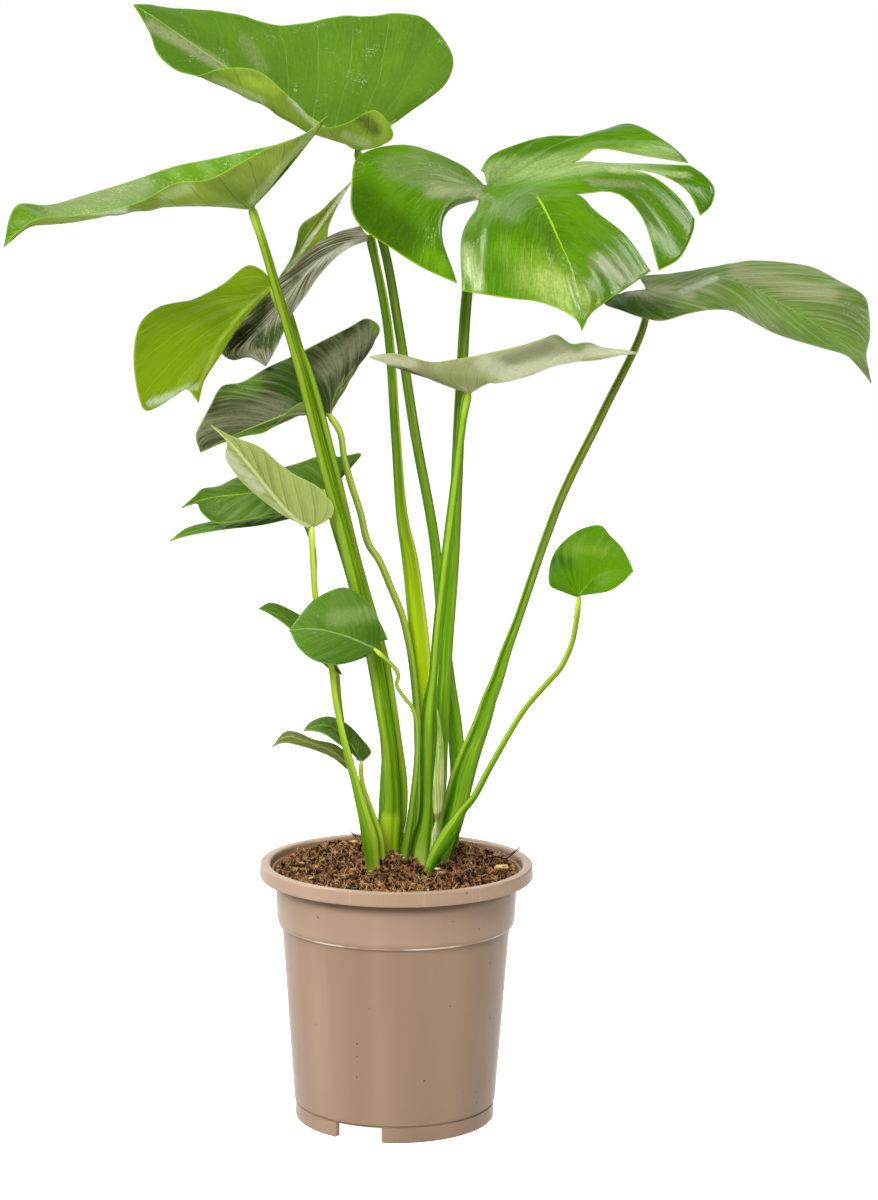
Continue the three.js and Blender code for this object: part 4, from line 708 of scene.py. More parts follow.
class Sheet:
    """Points with their pattern values, and triangles that name a point and a pattern for each corner."""

    def __init__(self):
        self.points, self.values, self.known = [], [], {}
        self.triangles, self.patterns = [], []

    def point(self, place, *values):
        """The number of the point here, with its pattern, share, along, out, edge and pace."""
        key = tuple(np.round(place / KEY_STEP).astype(np.int64))
        if key not in self.known:
            self.known[key] = len(self.points)
            self.points.append(place)
            self.values.append(values)
        return self.known[key]

    def triangle(self, corners, flip):
        ids = [corner[0] for corner in corners]
        if len(set(ids)) < 3:
            return
        if flip:
            corners = corners[::-1]
        self.triangles.append([corner[0] for corner in corners])
        self.patterns.append([corner[1:] for corner in corners])


def stitch(sheet, spine, row, flip):
    """Joins the midrib's points to a side's first row. Each entry is (along, point, pattern, share)."""
    i = j = 0
    while i < len(spine) - 1 or j < len(row) - 1:
        step_spine = j == len(row) - 1 or (i < len(spine) - 1 and spine[i + 1][0] < row[j + 1][0])
        third = spine[i + 1] if step_spine else row[j + 1]
        near = row[j]
        corners = []
        for entry in ((spine[i], third, near) if step_spine else (spine[i], third, near)):
            pattern = near[2] if entry[2] is None else entry[2]
            corners.append((entry[1], pattern, entry[3]))
        sheet.triangle(corners, flip)
        if step_spine:
            i += 1
        else:
            j += 1


def grow_sheet(leaf, vein_gap, sweep):
    """The whole blade as one sheet, left side and right side joined along the midrib."""
    midrib = smooth_line([seen(p) for p in leaf["midrib"]])
    sheet = Sheet()
    sides = [blade_side(leaf, side, midrib, vein_gap, sweep) for side in ("left", "right")]
    stations = sorted({round(a, 6) for lobes in sides for lobe in lobes for a in lobe["along"]})
    spine_points = along_line(midrib, stations)
    spine = [(a, sheet.point(p, 0, 0, a, 0, SPINE_EDGE, SPINE_EDGE), None, 0.0)
             for a, p in zip(stations, spine_points)]
    for number, lobes in enumerate(sides):
        flip = number == 1
        shift = number * SIDE_SHIFT
        first_row = []
        for lobe in lobes:
            grid = []
            for i, rib in enumerate(lobe["points"]):
                rows = zip(rib, lobe["pattern"][i] + shift, SHARES, lobe["out"][i], lobe["edge"][i],
                           lobe["pace"][i])
                grid.append([(sheet.point(p, pattern, share, lobe["along"][i], *rest), pattern, share)
                             if share > 0 else None for p, pattern, share, *rest in rows])
            first_row += [(a, *row[1]) for a, row in zip(lobe["along"], grid)]
            for i in range(len(grid) - 1):
                for j in range(1, ROWS):
                    a, b, c, d = grid[i][j], grid[i + 1][j], grid[i + 1][j + 1], grid[i][j + 1]
                    sheet.triangle((a, b, c), flip)
                    sheet.triangle((a, c, d), flip)
        stitch(sheet, spine, first_row, flip)
    return sheet

# %% [markdown]
# ## From a surface to a leaf
# A blade isn't flat between its side veins: the tissue swells a little and the veins lie in shallow
# valleys on the upper face, with the midrib standing out as a ridge below. These forms are moved into the
# mesh itself, and each leaf has its own: how far apart its side veins are, how far they sweep towards the
# tip, how much it swells between them, how much its margin ruffles, and how far its two halves run
# smoothly into each other at the midrib.

# %% The form of each leaf
FORM = dict(gap=11, sweep=1.0, quilt=0.6, ruffle=0.5, ruffle_size=34, smooth=4)
FORMS = {
    "top": dict(gap=24, sweep=0.5, ruffle=0.9, ruffle_size=13),
    "left": dict(gap=20, quilt=0.9),
    "split": dict(gap=24, sweep=0.5, quilt=1.0, smooth=60),
    "right": dict(gap=15, sweep=3.0, quilt=1.0, smooth=20),
    "middle": dict(gap=13, sweep=2.0, quilt=1.2, ruffle=1.2, ruffle_size=22),
    "yellow": dict(gap=18, sweep=1.6, quilt=0.8),
    "strap": dict(gap=10, sweep=5.0, quilt=1.5, ruffle=1.0),
    "upright": dict(gap=12, sweep=3.0, quilt=1.0),
    "dark": dict(gap=10, sweep=3.0, quilt=1.4, ruffle=1.2, ruffle_size=30),
    "pale": dict(gap=14, sweep=1.4, quilt=0.7),
    "green": dict(gap=14, sweep=1.5, quilt=0.9, smooth=20),
    "front": dict(gap=9, sweep=1.2, smooth=20),
    "heart": dict(gap=9, quilt=0.5, smooth=20),
}

# %% Relief and the two faces
MIDRIB_RIDGE = 1.3 * MM
MIDRIB_SPREAD = 1.9 * MM
MIDRIB_VALLEY = 0.25 * MM
MIDRIB_TAPER = 0.75
VEIN_RIDGE = 0.16 * MM
THIN_EDGE = 0.4
EDGE_TAPER = 2.5 * MM
SMOOTH_REACH = 13 * MM
SMOOTH_EDGE = 8 * MM
SMOOTH_TIP = (0.02, 0.15)
QUILT_EDGE = 5 * MM
QUILT_PACE = 1.4
QUILT_OUT = (0.02, 0.2)
RUFFLE_OUT = (0.1, 0.9)
TINY = 1e-12


def eased(values, low, high):
    share = np.clip((values - low) / (high - low), 0, 1)
    return share * share * (3 - 2 * share)


def relaxed(points, triangles, weights, rounds):
    """Moves each point towards the middle of its neighbours, round after round, as its weight lets it."""
    pairs = np.concatenate([triangles[:, [0, 1]], triangles[:, [1, 2]], triangles[:, [2, 0]]])
    pairs = np.unique(np.sort(pairs, axis=1), axis=0)
    start, end = np.concatenate([pairs, pairs[:, ::-1]]).T
    count = np.bincount(start, minlength=len(points))
    for _ in range(rounds):
        middle = [np.bincount(start, points[end, k], len(points)) / count for k in range(3)]
        points = points + weights[:, None] * (np.array(middle).T - points)
    return points


def point_normals(points, triangles):
    corners = points[triangles]
    face_normals = np.cross(corners[:, 1] - corners[:, 0], corners[:, 2] - corners[:, 0])
    normals = np.zeros_like(points)
    for k in range(3):
        np.add.at(normals, triangles[:, k], face_normals)
    return normals / np.maximum(np.linalg.norm(normals, axis=1, keepdims=True), TINY)


def two_faces(name, upper, lower, triangles, looks):
    """A thin mesh with an upper face, the same one turned over below, and a rim where the sheet ends."""
    count = len(upper)
    edges = {(t[k], t[(k + 1) % 3]) for t in triangles for k in range(3)}
    rim, rim_looks = [], []
    for t, look in zip(triangles, looks):
        for k in range(3):
            a, b = t[k], t[(k + 1) % 3]
            if (b, a) not in edges:
                pa, pb = look[k], look[(k + 1) % 3]
                rim += [[b, a, a + count], [b, a + count, b + count]]
                rim_looks += [[pb, pa, pa], [pb, pa, pb]]
    below = [[t[0] + count, t[2] + count, t[1] + count] for t in triangles]
    below_looks = [[look[0], look[2], look[1]] for look in looks]
    mesh = smooth_mesh(name, np.concatenate([upper, lower]), triangles + below + rim)
    layer = mesh.uv_layers.new(name="blade")
    layer.data.foreach_set("uv", np.array(looks + below_looks + rim_looks, np.float32).ravel())
    return mesh


# %% The mesh of a blade
def blade_mesh(leaf, form):
    """The sheet made smooth at the midrib, swollen between its veins, ruffled and given two faces."""
    vein_gap = form["gap"] * MM
    sheet = grow_sheet(leaf, vein_gap, form["sweep"])
    points = np.array(sheet.points)
    pattern, share, along, out, edge, pace = np.array(sheet.values).T
    triangles = np.array(sheet.triangles)
    near_midrib = np.exp(-((out / SMOOTH_REACH) ** 2)) * eased(edge, 0, SMOOTH_EDGE)
    near_midrib *= eased(1 - along, *SMOOTH_TIP)
    points = relaxed(points, triangles, 0.5 * near_midrib, form["smooth"])
    normals = point_normals(points, triangles)

    between = 0.5 - 0.5 * np.cos(2 * np.pi * pattern)
    roomy = np.clip(QUILT_PACE * pace / vein_gap, 0, 1) * eased(share, *QUILT_OUT)
    roomy *= eased(edge, 0, QUILT_EDGE)
    waves = np.array([noise.noise(Vector(p / (form["ruffle_size"] * MM))) for p in points])
    lift = form["quilt"] * MM * (between - 0.5) * roomy
    lift += form["ruffle"] * MM * waves * eased(share, *RUFFLE_OUT)
    ridge = np.exp(-((out / MIDRIB_SPREAD) ** 2)) * (1 - MIDRIB_TAPER * along)
    points = points + normals * lift[:, None]
    half = BLADE_THICKNESS / 2 * (THIN_EDGE + (1 - THIN_EDGE) * eased(edge, 0, EDGE_TAPER))
    upper = points + normals * (half - MIDRIB_VALLEY * ridge)[:, None]
    veins = (1 - between) ** 4 * roomy
    lower = points - normals * (half + MIDRIB_RIDGE * ridge + VEIN_RIDGE * veins)[:, None]

    mesh = two_faces(leaf["name"] + "_blade", upper, lower, sheet.triangles, sheet.patterns)
    for name, values in (("from_midrib", out), ("to_margin", edge), ("pace", pace), ("along", along)):
        point_attribute(mesh, name, np.concatenate([values, values]))
    point_attribute(mesh, "under", np.repeat([0.0, 1.0], len(points)))
    return mesh


# %% [markdown]
# ## What a blade looks like
# Under a lamp a monstera blade shows pale side veins with finer ones between them, a light midrib, a
# hair-thin yellowish margin, a slight mottle, and here and there dried spots of hard water. The pattern
# is one shader group, because every blade uses it: it turns the values stored in the mesh into masks.

# %% The pattern that every blade shares
BLADE_MASKS = ("Vein", "Fine", "Midrib", "Margin", "Grain", "Mottle", "Patches", "Streaks", "Spots",
               "Relief")
GRAIN_SCALE = (26.0, 7.0, 1.0)
STREAK_SCALE = (4.2, 1.2, 1.0)
MOTTLE_SCALE = 420.0
PATCH_SCALE = 16.0
CRUST_SCALE = 900.0


def make_blade_pattern():
    tree = bpy.data.node_groups.new("blade_pattern", "ShaderNodeTree")
    for name, value in (("Vein Width", 0.0009), ("Midrib Width", 0.0016), ("Midrib Start", -1.0),
                        ("Fine Veins", 4.0), ("Spots", 0.3)):
        socket = tree.interface.new_socket(name, in_out="INPUT", socket_type="NodeSocketFloat")
        socket.default_value = value
    for name in BLADE_MASKS:
        tree.interface.new_socket(name, in_out="OUTPUT", socket_type="NodeSocketFloat")
    given = tree.nodes.new("NodeGroupInput").outputs
    result = tree.nodes.new("NodeGroupOutput").inputs

    place_on = add(tree, "TexCoord").outputs["Object"]
    uv = add(tree, "UVMap", uv_map="blade").outputs[0]
    apart = add(tree, "SeparateXYZ", {0: uv})
    wander = maths(tree, "MULTIPLY_ADD", speckle(tree, place_on, 22.0, 2), 0.3, -0.15)
    pattern = maths(tree, "ADD", apart.outputs[0], wander)
    pace = stored(tree, "pace")

    def lines(count, width, falloff):
        """Thin lines where the pattern passes a whole number, as wide as they should be in metres."""
        turns = times(tree, pattern, count)
        off = maths(tree, "PINGPONG", maths(tree, "ADD", turns, 1000.0), 0.5)
        metres = times(tree, maths(tree, "DIVIDE", off, count), pace)
        thin = maths(tree, "MULTIPLY_ADD", apart.outputs[1], -falloff, 1.0)
        half = times(tree, times(tree, width, 0.5), thin)
        return fade(tree, maths(tree, "DIVIDE", metres, half), 0.4, 1.3, 1.0, 0.0)

    vein = lines(1.0, given["Vein Width"], 0.6)
    fine = lines(given["Fine Veins"], times(tree, given["Vein Width"], 0.55), 0.4)
    along = stored(tree, "along")
    slender = maths(tree, "MULTIPLY_ADD", along, -0.6, 1.0)
    midrib_half = times(tree, given["Midrib Width"], times(tree, slender, 0.5))
    midrib = fade(tree, maths(tree, "DIVIDE", stored(tree, "from_midrib"), midrib_half), 0.6, 1.3, 1.0, 0.0)
    begun = fade(tree, maths(tree, "SUBTRACT", along, given["Midrib Start"]), -0.04, 0.04)
    midrib = times(tree, midrib, begun)
    margin = fade(tree, stored(tree, "to_margin"), 0.0004, 0.0013, 1.0, 0.0)
    grain = speckle(tree, uv, GRAIN_SCALE, 4)
    mottle = speckle(tree, place_on, MOTTLE_SCALE)
    patches = speckle(tree, place_on, PATCH_SCALE)
    streaks = fade(tree, speckle(tree, uv, STREAK_SCALE, 4), 0.38, 0.74)
    streaks = times(tree, streaks, fade(tree, patches, 0.4, 0.58, 0.5, 1.0))
    grains = add(tree, "TexVoronoi", {"Vector": place_on, "Scale": CRUST_SCALE})
    chance = add(tree, "SeparateColor", {0: grains.outputs["Color"]}).outputs[0]
    crusts = maths(tree, "LESS_THAN", grains.outputs["Distance"], fade(tree, chance, 0.5, 1.0, 0.0, 0.55))
    where = fade(tree, maths(tree, "ADD", speckle(tree, place_on, 60.0, 4), given["Spots"]), 0.66, 0.9)
    spots = times(tree, crusts, where)
    relief = maths(tree, "MULTIPLY_ADD", vein, -0.7, times(tree, fine, -0.3))
    relief = maths(tree, "MULTIPLY_ADD", grain, 0.25, relief)
    relief = maths(tree, "MULTIPLY_ADD", mottle, 0.7, relief)
    values = (vein, fine, midrib, margin, grain, mottle, patches, streaks, spots, relief)
    for socket, value in zip(result, values):
        tree.links.new(value, socket)
    return tree


blade_pattern = make_blade_pattern()
print("blade pattern", len(blade_pattern.nodes), "nodes")

# %% [markdown]
# ## Local tints and painted light
# No blade is one green all over, and the light on it isn't even, so soft strokes paint both. A painted
# grey sheen lies where a blade is level and mirrors the sweep, painted highlights lie pale and nearly
# white where it mirrors a softbox, a white line follows the upright leaf's midrib, painted shade deepens
# the green under a lobe and darkens its hollows, and some places are a brighter green. Each stroke runs
# between two places seen from the front, in millimetres right and up, with a reach, a tint and a share,
# and it colours only the face that it names. They are kept on the points of the mesh as one colour with
# its share.

# %% Strokes on the blades
# Painted light among the tints: the grey is a painted sheen, the pale tint, the near white and the glare
# are painted highlights, and the deep green and the hollow tint are painted shade. The near white also
# draws the upright leaf's white midrib, and the lime draws veins, except round the split leaf's glare,
# where it is part of the painted highlight.
GREY_SHEEN = (172, 170, 132)
WHITE_HIGHLIGHT_AND_RIB = (240, 242, 226)
PALE_HIGHLIGHT = (204, 218, 150)
SHADE_GREEN = (52, 88, 4)
BRIGHTER_GREEN = (112, 166, 12)
LIME = (196, 216, 84)
GLARE = (222, 236, 150)
HOLLOW_SHADE = (44, 58, 22)
FULL_REACH = 0.25
TINY_SHARE = 1e-9
STROKES = {
    "top": {
        "upper": [((-169, 750), (-121, 723), 6, GREY_SHEEN, 0.7), ((-106, 740), (-94, 722), 7, GREY_SHEEN, 0.25)],
        "under": [((-73, 703), (-57, 687), 6, WHITE_HIGHLIGHT_AND_RIB, 0.9), ((-126, 714), (-94, 700), 4, PALE_HIGHLIGHT, 0.7),
            ((-106, 714), (-86, 707), 6, LIME, 0.4), ((-38, 678), (-24, 673), 5, PALE_HIGHLIGHT, 0.7),
            ((-28, 690), (-18, 682), 7, HOLLOW_SHADE, 0.7), ((-9, 686), (-7, 677), 4, BRIGHTER_GREEN, 0.6)]},
    "left": {
        "upper": [((-234, 631), (-176, 642), 11, GREY_SHEEN, 0.4), ((-153, 652), (-102, 665), 9, BRIGHTER_GREEN, 0.4),
            ((-120, 650), (-96, 655), 5, SHADE_GREEN, 0.3)],
        "under": [((-241, 625), (-187, 627), 4, WHITE_HIGHLIGHT_AND_RIB, 0.8), ((-160, 637), (-143, 642), 6, PALE_HIGHLIGHT, 0.6),
            ((-100, 634), (-57, 682), 5, PALE_HIGHLIGHT, 0.8), ((-126, 645), (-109, 637), 8, SHADE_GREEN, 0.3)]},
    "split": {
        "upper": [((-7, 658), (46, 643), 13, GREY_SHEEN, 0.35), ((9, 667), (36, 654), 8, GREY_SHEEN, 0.2),
            ((60, 655), (181, 668), 12, PALE_HIGHLIGHT, 0.4), ((20, 642), (50, 640), 7, GREY_SHEEN, 0.6),
            ((-27, 633), (-2, 611), 24, SHADE_GREEN, 0.95), ((19, 599), (30, 590), 8, BRIGHTER_GREEN, 0.5),
            ((44, 602), (52, 578), 8, PALE_HIGHLIGHT, 0.5), ((88, 588), (122, 566), 22, LIME, 0.35),
            ((98, 583), (118, 568), 14, GLARE, 0.35), ((134, 595), (162, 584), 11, GREY_SHEEN, 0.5),
            ((70, 605), (90, 597), 13, BRIGHTER_GREEN, 0.45), ((53, 636), (74, 626), 9, GREY_SHEEN, 0.15),
            ((119, 568), (126, 554), 6, BRIGHTER_GREEN, 0.5), ((143, 657), (194, 654), 3, PALE_HIGHLIGHT, 0.6),
            ((127, 649), (160, 647), 4, GREY_SHEEN, 0.5)]},
    "right": {
        "both": [((147, 568), (193, 558), 10, SHADE_GREEN, 0.9), ((155, 578), (196, 575), 6, GREY_SHEEN, 0.7),
            ((190, 576), (213, 585), 3, WHITE_HIGHLIGHT_AND_RIB, 0.4), ((226, 575), (267, 560), 11, BRIGHTER_GREEN, 0.3),
            ((274, 554), (307, 538), 16, BRIGHTER_GREEN, 0.3), ((226, 590), (291, 575), 8, GREY_SHEEN, 0.5)]},
    "middle": {
        "both": [((70, 519), (119, 531), 7, WHITE_HIGHLIGHT_AND_RIB, 1), ((119, 534), (156, 536), 6, WHITE_HIGHLIGHT_AND_RIB, 1),
            ((-21, 529), (8, 526), 6, WHITE_HIGHLIGHT_AND_RIB, 0.9), ((112, 545), (120, 540), 9, BRIGHTER_GREEN, 1),
            ((20, 520), (60, 513), 6, LIME, 0.3), ((72, 528), (100, 538), 6, HOLLOW_SHADE, 0.4),
            ((0, 520), (56, 512), 6, HOLLOW_SHADE, 0.3), ((57, 526), (77, 518), 9, WHITE_HIGHLIGHT_AND_RIB, 0.8)]},
    "yellow": {
        "upper": [((-160, 565), (-126, 556), 15, SHADE_GREEN, 0.4), ((-89, 576), (-107, 560), 2, LIME, 0.8),
            ((-107, 560), (-122, 541), 2, LIME, 0.8), ((-122, 541), (-138, 506), 2, LIME, 0.8),
            ((-170, 497), (-140, 509), 4, WHITE_HIGHLIGHT_AND_RIB, 0.7), ((-130, 530), (-150, 505), 9, LIME, 0.25),
            ((-94, 565), (-109, 538), 8, SHADE_GREEN, 0.4)]},
    "strap": {
        "both": [((-117, 538), (-102, 547), 8, HOLLOW_SHADE, 1), ((-93, 568), (-98, 545), 7, SHADE_GREEN, 0.9),
            ((-94, 537), (-81, 547), 9, SHADE_GREEN, 0.95), ((-35, 602), (-60, 571), 7, WHITE_HIGHLIGHT_AND_RIB, 0.5),
            ((-23, 614), (-68, 585), 3, WHITE_HIGHLIGHT_AND_RIB, 0.3), ((-114, 531), (-94, 533), 3, GREY_SHEEN, 0.8)]},
    "upright": {
        "both": [((-43, 621), (-60, 598), 7, LIME, 0.35), ((-66, 618), (-71, 602), 5, SHADE_GREEN, 0.5),
            ((-38, 642), (-58, 614), 1.8, WHITE_HIGHLIGHT_AND_RIB, 1), ((-58, 614), (-77, 587), 2.2, WHITE_HIGHLIGHT_AND_RIB, 1),
            ((-55, 632), (-44, 639), 3, GREY_SHEEN, 0.7)]},
    "dark": {
        "upper": [((-89, 531), (-68, 502), 16, SHADE_GREEN, 0.7), ((-120, 509), (-101, 512), 12, BRIGHTER_GREEN, 0.45),
            ((-133, 480), (-78, 495), 11, GREY_SHEEN, 0.35), ((-53, 520), (-19, 548), 10, GREY_SHEEN, 0.35),
            ((-18, 552), (-15, 548), 5, BRIGHTER_GREEN, 0.5)],
        "under": [((-53, 501), (-40, 524), 7, PALE_HIGHLIGHT, 0.35)],
        "both": [((-110, 475), (-76, 484), 3, BRIGHTER_GREEN, 0.6)]},
    "pale": {
        "under": [((-119, 463), (-95, 439), 5, WHITE_HIGHLIGHT_AND_RIB, 0.5), ((-86, 425), (-62, 396), 6, WHITE_HIGHLIGHT_AND_RIB, 0.3)]},
    "front": {
        "upper": [((-44, 350), (-14, 356), 9, PALE_HIGHLIGHT, 0.3), ((-18, 340), (-2, 318), 9, SHADE_GREEN, 0.45),
            ((-50, 316), (-30, 300), 9, SHADE_GREEN, 0.35), ((-20, 366), (-8, 352), 5, PALE_HIGHLIGHT, 0.3)]},
    "heart": {
        "upper": [((104, 393), (116, 390), 7, SHADE_GREEN, 0.6), ((100, 374), (112, 372), 5, SHADE_GREEN, 0.4),
            ((120, 400), (140, 398), 6, LIME, 0.2), ((140, 380), (156, 384), 8, BRIGHTER_GREEN, 0.5)]},
    "green": {
        "upper": [((-140, 420), (-110, 410), 8, SHADE_GREEN, 0.5), ((-60, 420), (-20, 440), 8, SHADE_GREEN, 0.6)]},
}


def front_view(points):
    """Where points of the frame lie as seen from the front, in millimetres right and up."""
    across, behind, height = ((points - POT_AXIS) / MM).T
    scale = (EYE_DISTANCE + behind) / EYE_DISTANCE
    return np.array([across / scale, EYE_HEIGHT + (height - EYE_HEIGHT) / scale]).T


def lay_strokes(mesh, strokes):
    points = np.array([v.co for v in mesh.vertices])
    flat = front_view(points)
    half = len(points) // 2
    tint, share = np.zeros((len(points), 3)), np.zeros(len(points))
    """Blends the strokes one over another, and stores the tint with its share at each point."""
    laid = [(face, *line) for face, lines in strokes.items() for line in lines]
    for face, start, end, reach, paint, strength in laid:
        way = np.subtract(end, start)
        along = np.clip((flat - start) @ way / (way @ way), 0, 1)
        gap = np.linalg.norm(flat - start - along[:, None] * way, axis=1)
        own = strength * eased(-gap, -reach, -FULL_REACH * reach)
        if face == "upper":
            own[half:] = 0
        elif face == "under":
            own[:half] = 0
        total = own + share * (1 - own)
        weight = own / np.maximum(total, TINY_SHARE)
        tint = tint * (1 - weight[:, None]) + np.array(rgb(*paint)[:3]) * weight[:, None]
        share = total
    attribute = mesh.attributes.new("tint", "FLOAT_COLOR", "POINT")
    attribute.data.foreach_set("color", np.column_stack([tint, share]).astype(np.float32).ravel())


# %% [markdown]
# ## The finish of each leaf
# A leaf's green depends on its age and on how the light meets it: the youngest is yellow-green and lets
# light through, old ones are deep and waxy, and an underside is pale and dull. Each leaf gets a material
# of its own, built by one function from a few picked colours. A thin blade glows when light falls on its
# other face, so part of the light goes through a translucent shader.

# %% Leaf materials
SCALE_WHITE = (214, 226, 190)
BLOOM_SHEEN_GREY = (196, 192, 162)
WARM_SHEEN = (1.0, 0.95, 0.76, 1.0)
LEAF_BUMP = 0.4 * MM
TONE = (0.36, 0.62)
GREEN = dict(upper=(98, 148, 18), deep=(66, 112, 6), vein=(132, 176, 50), midrib=(160, 205, 50),
             under=(136, 158, 60), under_vein=(92, 120, 34), glow=(170, 210, 0), through=0.3, rough=0.3,
             shine=0.25, spots=0.1, veins=0.3, rib=1.8, rib_from=-1.0, bloom_sheen=0.0, bloom_sheen_tint=BLOOM_SHEEN_GREY)
LOOKS = {
    "top": dict(upper=(88, 130, 12), deep=(68, 108, 3), vein=(150, 190, 90), under=(164, 188, 70),
                under_vein=(112, 140, 44), spots=0.15, rough=0.5, shine=0.15, veins=0.22),
    "left": dict(upper=(102, 140, 26), deep=(74, 116, 10), under=(156, 174, 70),
                 under_vein=(96, 124, 36), spots=0.27, rough=0.36),
    "split": dict(upper=(96, 146, 8), deep=(60, 106, 0), vein=(124, 172, 40), midrib=(176, 218, 16),
                  rough=0.24, shine=0.28, veins=0.12, rib=3.6, rib_from=0.25),
    "right": dict(upper=(96, 124, 36), deep=(66, 96, 14), vein=(138, 158, 96), rough=0.34, bloom_sheen=0.5,
                  midrib=(140, 160, 92), rib=1.4),
    # The middle leaf's near-white underside is partly painted highlight, for the bright sweep that it
    # mirrors.
    "middle": dict(upper=(104, 140, 60), under=(228, 224, 176), under_vein=(156, 160, 100), rough=0.18,
                   shine=0.7, through=0.6, glow=(250, 246, 206), bloom_sheen=0.3),
    "yellow": dict(upper=(134, 162, 8), deep=(96, 128, 2), vein=(186, 208, 70), midrib=(200, 220, 90),
                   glow=(200, 226, 0), under=(160, 190, 60), through=0.5, veins=0.8, spots=0.0, rib=2.2),
    # The strap leaf's whitish streaks are painted sheen, for the bright sweep mirrored on its ridges.
    "strap": dict(upper=(92, 86, 36), deep=(38, 40, 8), vein=(120, 118, 70), midrib=(190, 188, 140),
                  glow=(150, 150, 40), under=(92, 86, 36), under_vein=(38, 40, 8), shine=0.15, spots=0.0,
                  bloom_sheen=1.0, bloom_sheen_tint=(240, 238, 216)),
    "upright": dict(upper=(152, 168, 48), deep=(106, 128, 18), vein=(170, 186, 110), shine=0.12,
                    glow=(210, 226, 20), through=0.4, midrib=(216, 226, 186), rib=2.6, spots=0.0),
    "dark": dict(upper=(48, 70, 8), deep=(20, 34, 0), vein=(100, 116, 70), under=(128, 142, 76),
                 through=0.2, rough=0.32, shine=0.2, bloom_sheen=0.5),
    "pale": dict(upper=(110, 146, 60), under=(190, 202, 112), under_vein=(118, 146, 52), veins=0.4,
                 midrib=(214, 222, 150), rib=2.4, bloom_sheen=0.3),
    "green": dict(upper=(82, 120, 26), deep=(50, 84, 6), veins=0.15, rough=0.36, bloom_sheen=0.15),
    "thin": dict(upper=(80, 120, 40), under=(120, 138, 70)),
    "front": dict(upper=(90, 138, 30), deep=(58, 102, 8), vein=(130, 176, 70), rough=0.34,
                  midrib=(160, 192, 110), bloom_sheen=0.08),
    "hidden": dict(upper=(96, 130, 50)),
    "upper_small": dict(upper=(84, 118, 40), deep=(48, 82, 14), bloom_sheen=0.2),
    "lower_small": dict(upper=(110, 130, 60), under=(146, 148, 92), under_vein=(108, 104, 54)),
    "heart": dict(upper=(100, 158, 2), deep=(66, 118, 0), vein=(124, 178, 30), midrib=(120, 174, 30),
                  rib=1.2),
}


def leaf_material(name):
    """A waxy upper face, a dull lower one, the shared pattern and this leaf's tints, painted highlights and
    painted shade among them.
    """
    look = {**GREEN, **LOOKS[name]}
    material, tree, shader = new_material(name + "_leaf_finish")
    pattern = tree.nodes.new("ShaderNodeGroup")
    pattern.node_tree = blade_pattern
    pattern.inputs["Spots"].default_value = look["spots"]
    pattern.inputs["Midrib Width"].default_value = look["rib"] * MM
    pattern.inputs["Midrib Start"].default_value = look["rib_from"]
    got = pattern.outputs
    under = stored(tree, "under")

    def painted(base, *layers):
        """The base colour with each of the pattern's masks laid over it, at its share, in its colour."""
        shares = [(times(tree, got[mask], share), paint) for mask, share, paint in layers]
        return layered(tree, base, *shares)

    tone = maths(tree, "MULTIPLY_ADD", got["Grain"], 0.5, times(tree, got["Patches"], 0.5))
    upper = blend(tree, fade(tree, tone, *TONE), look["deep"], look["upper"])
    # The streaks lay on a grey that is partly waxy bloom and partly painted sheen.
    upper = painted(upper, ("Mottle", 0.2, look["vein"]), ("Fine", 0.3 * look["veins"], look["vein"]),
                    ("Vein", look["veins"], look["vein"]), ("Streaks", look["bloom_sheen"], look["bloom_sheen_tint"]),
                    ("Midrib", 0.9, look["midrib"]), ("Spots", 0.6, SCALE_WHITE))
    lower = blend(tree, fade(tree, tone, *TONE, 0.45, 0.0), look["under"], look["under_vein"])
    lower = painted(lower, ("Fine", 0.2, look["under_vein"]), ("Vein", 0.8, look["under_vein"]),
                    ("Streaks", look["bloom_sheen"], look["bloom_sheen_tint"]), ("Midrib", 0.8, look["midrib"]))
    broken = times(tree, maths(tree, "ADD", got["Grain"], got["Mottle"]), 0.5)
    broken = fade(tree, broken, 0.36, 0.58, 0.5, 1.0)
    # The strokes' tint holds painted highlights and painted shade as well as the leaf's own tints.
    tint_share = times(tree, stored(tree, "tint", "Alpha"), broken)
    colour = layered(tree, blend(tree, under, upper, lower), (tint_share, stored(tree, "tint", "Color")))
    colour = painted(colour, ("Margin", 0.5, look["midrib"]))
    rough = maths(tree, "MULTIPLY_ADD", got["Mottle"], 0.24, look["rough"] - 0.12)
    rough = maths(tree, "MULTIPLY_ADD", under, 0.12, rough)
    bump = finish(tree, shader, colour, rough, got["Relief"], 0.6, LEAF_BUMP, look["shine"])
    shader.inputs["Specular Tint"].default_value = WARM_SHEEN
    glow = blend(tree, 0.5, colour, look["glow"])
    thin = add(tree, "BsdfTranslucent", {"Color": glow, "Normal": bump})
    mixed = add(tree, "MixShader", {0: look["through"], 1: shader.outputs[0], 2: thin.outputs[0]})
    tree.links.new(mixed.outputs[0], tree.nodes["Material Output"].inputs["Surface"])
    return material


# %% Grow the blades
LEAF_SLOTS = {"middle": "leaf_underside", "pale": "leaf_underside", "lower_small": "leaf_underside",
              "yellow": "leaf_yellow"}
for leaf in LEAVES:
    mesh = blade_mesh(leaf, {**FORM, **FORMS.get(leaf["name"], {})})
    lay_strokes(mesh, STROKES.get(leaf["name"], {}))
    mesh.materials.append(leaf_material(leaf["name"]))
    place(mesh, LEAF_SLOTS.get(leaf["name"], "leaf"), [leaf["name"] + "_leaf"])
    print(leaf["name"], "blade", len(mesh.polygons), "triangles")

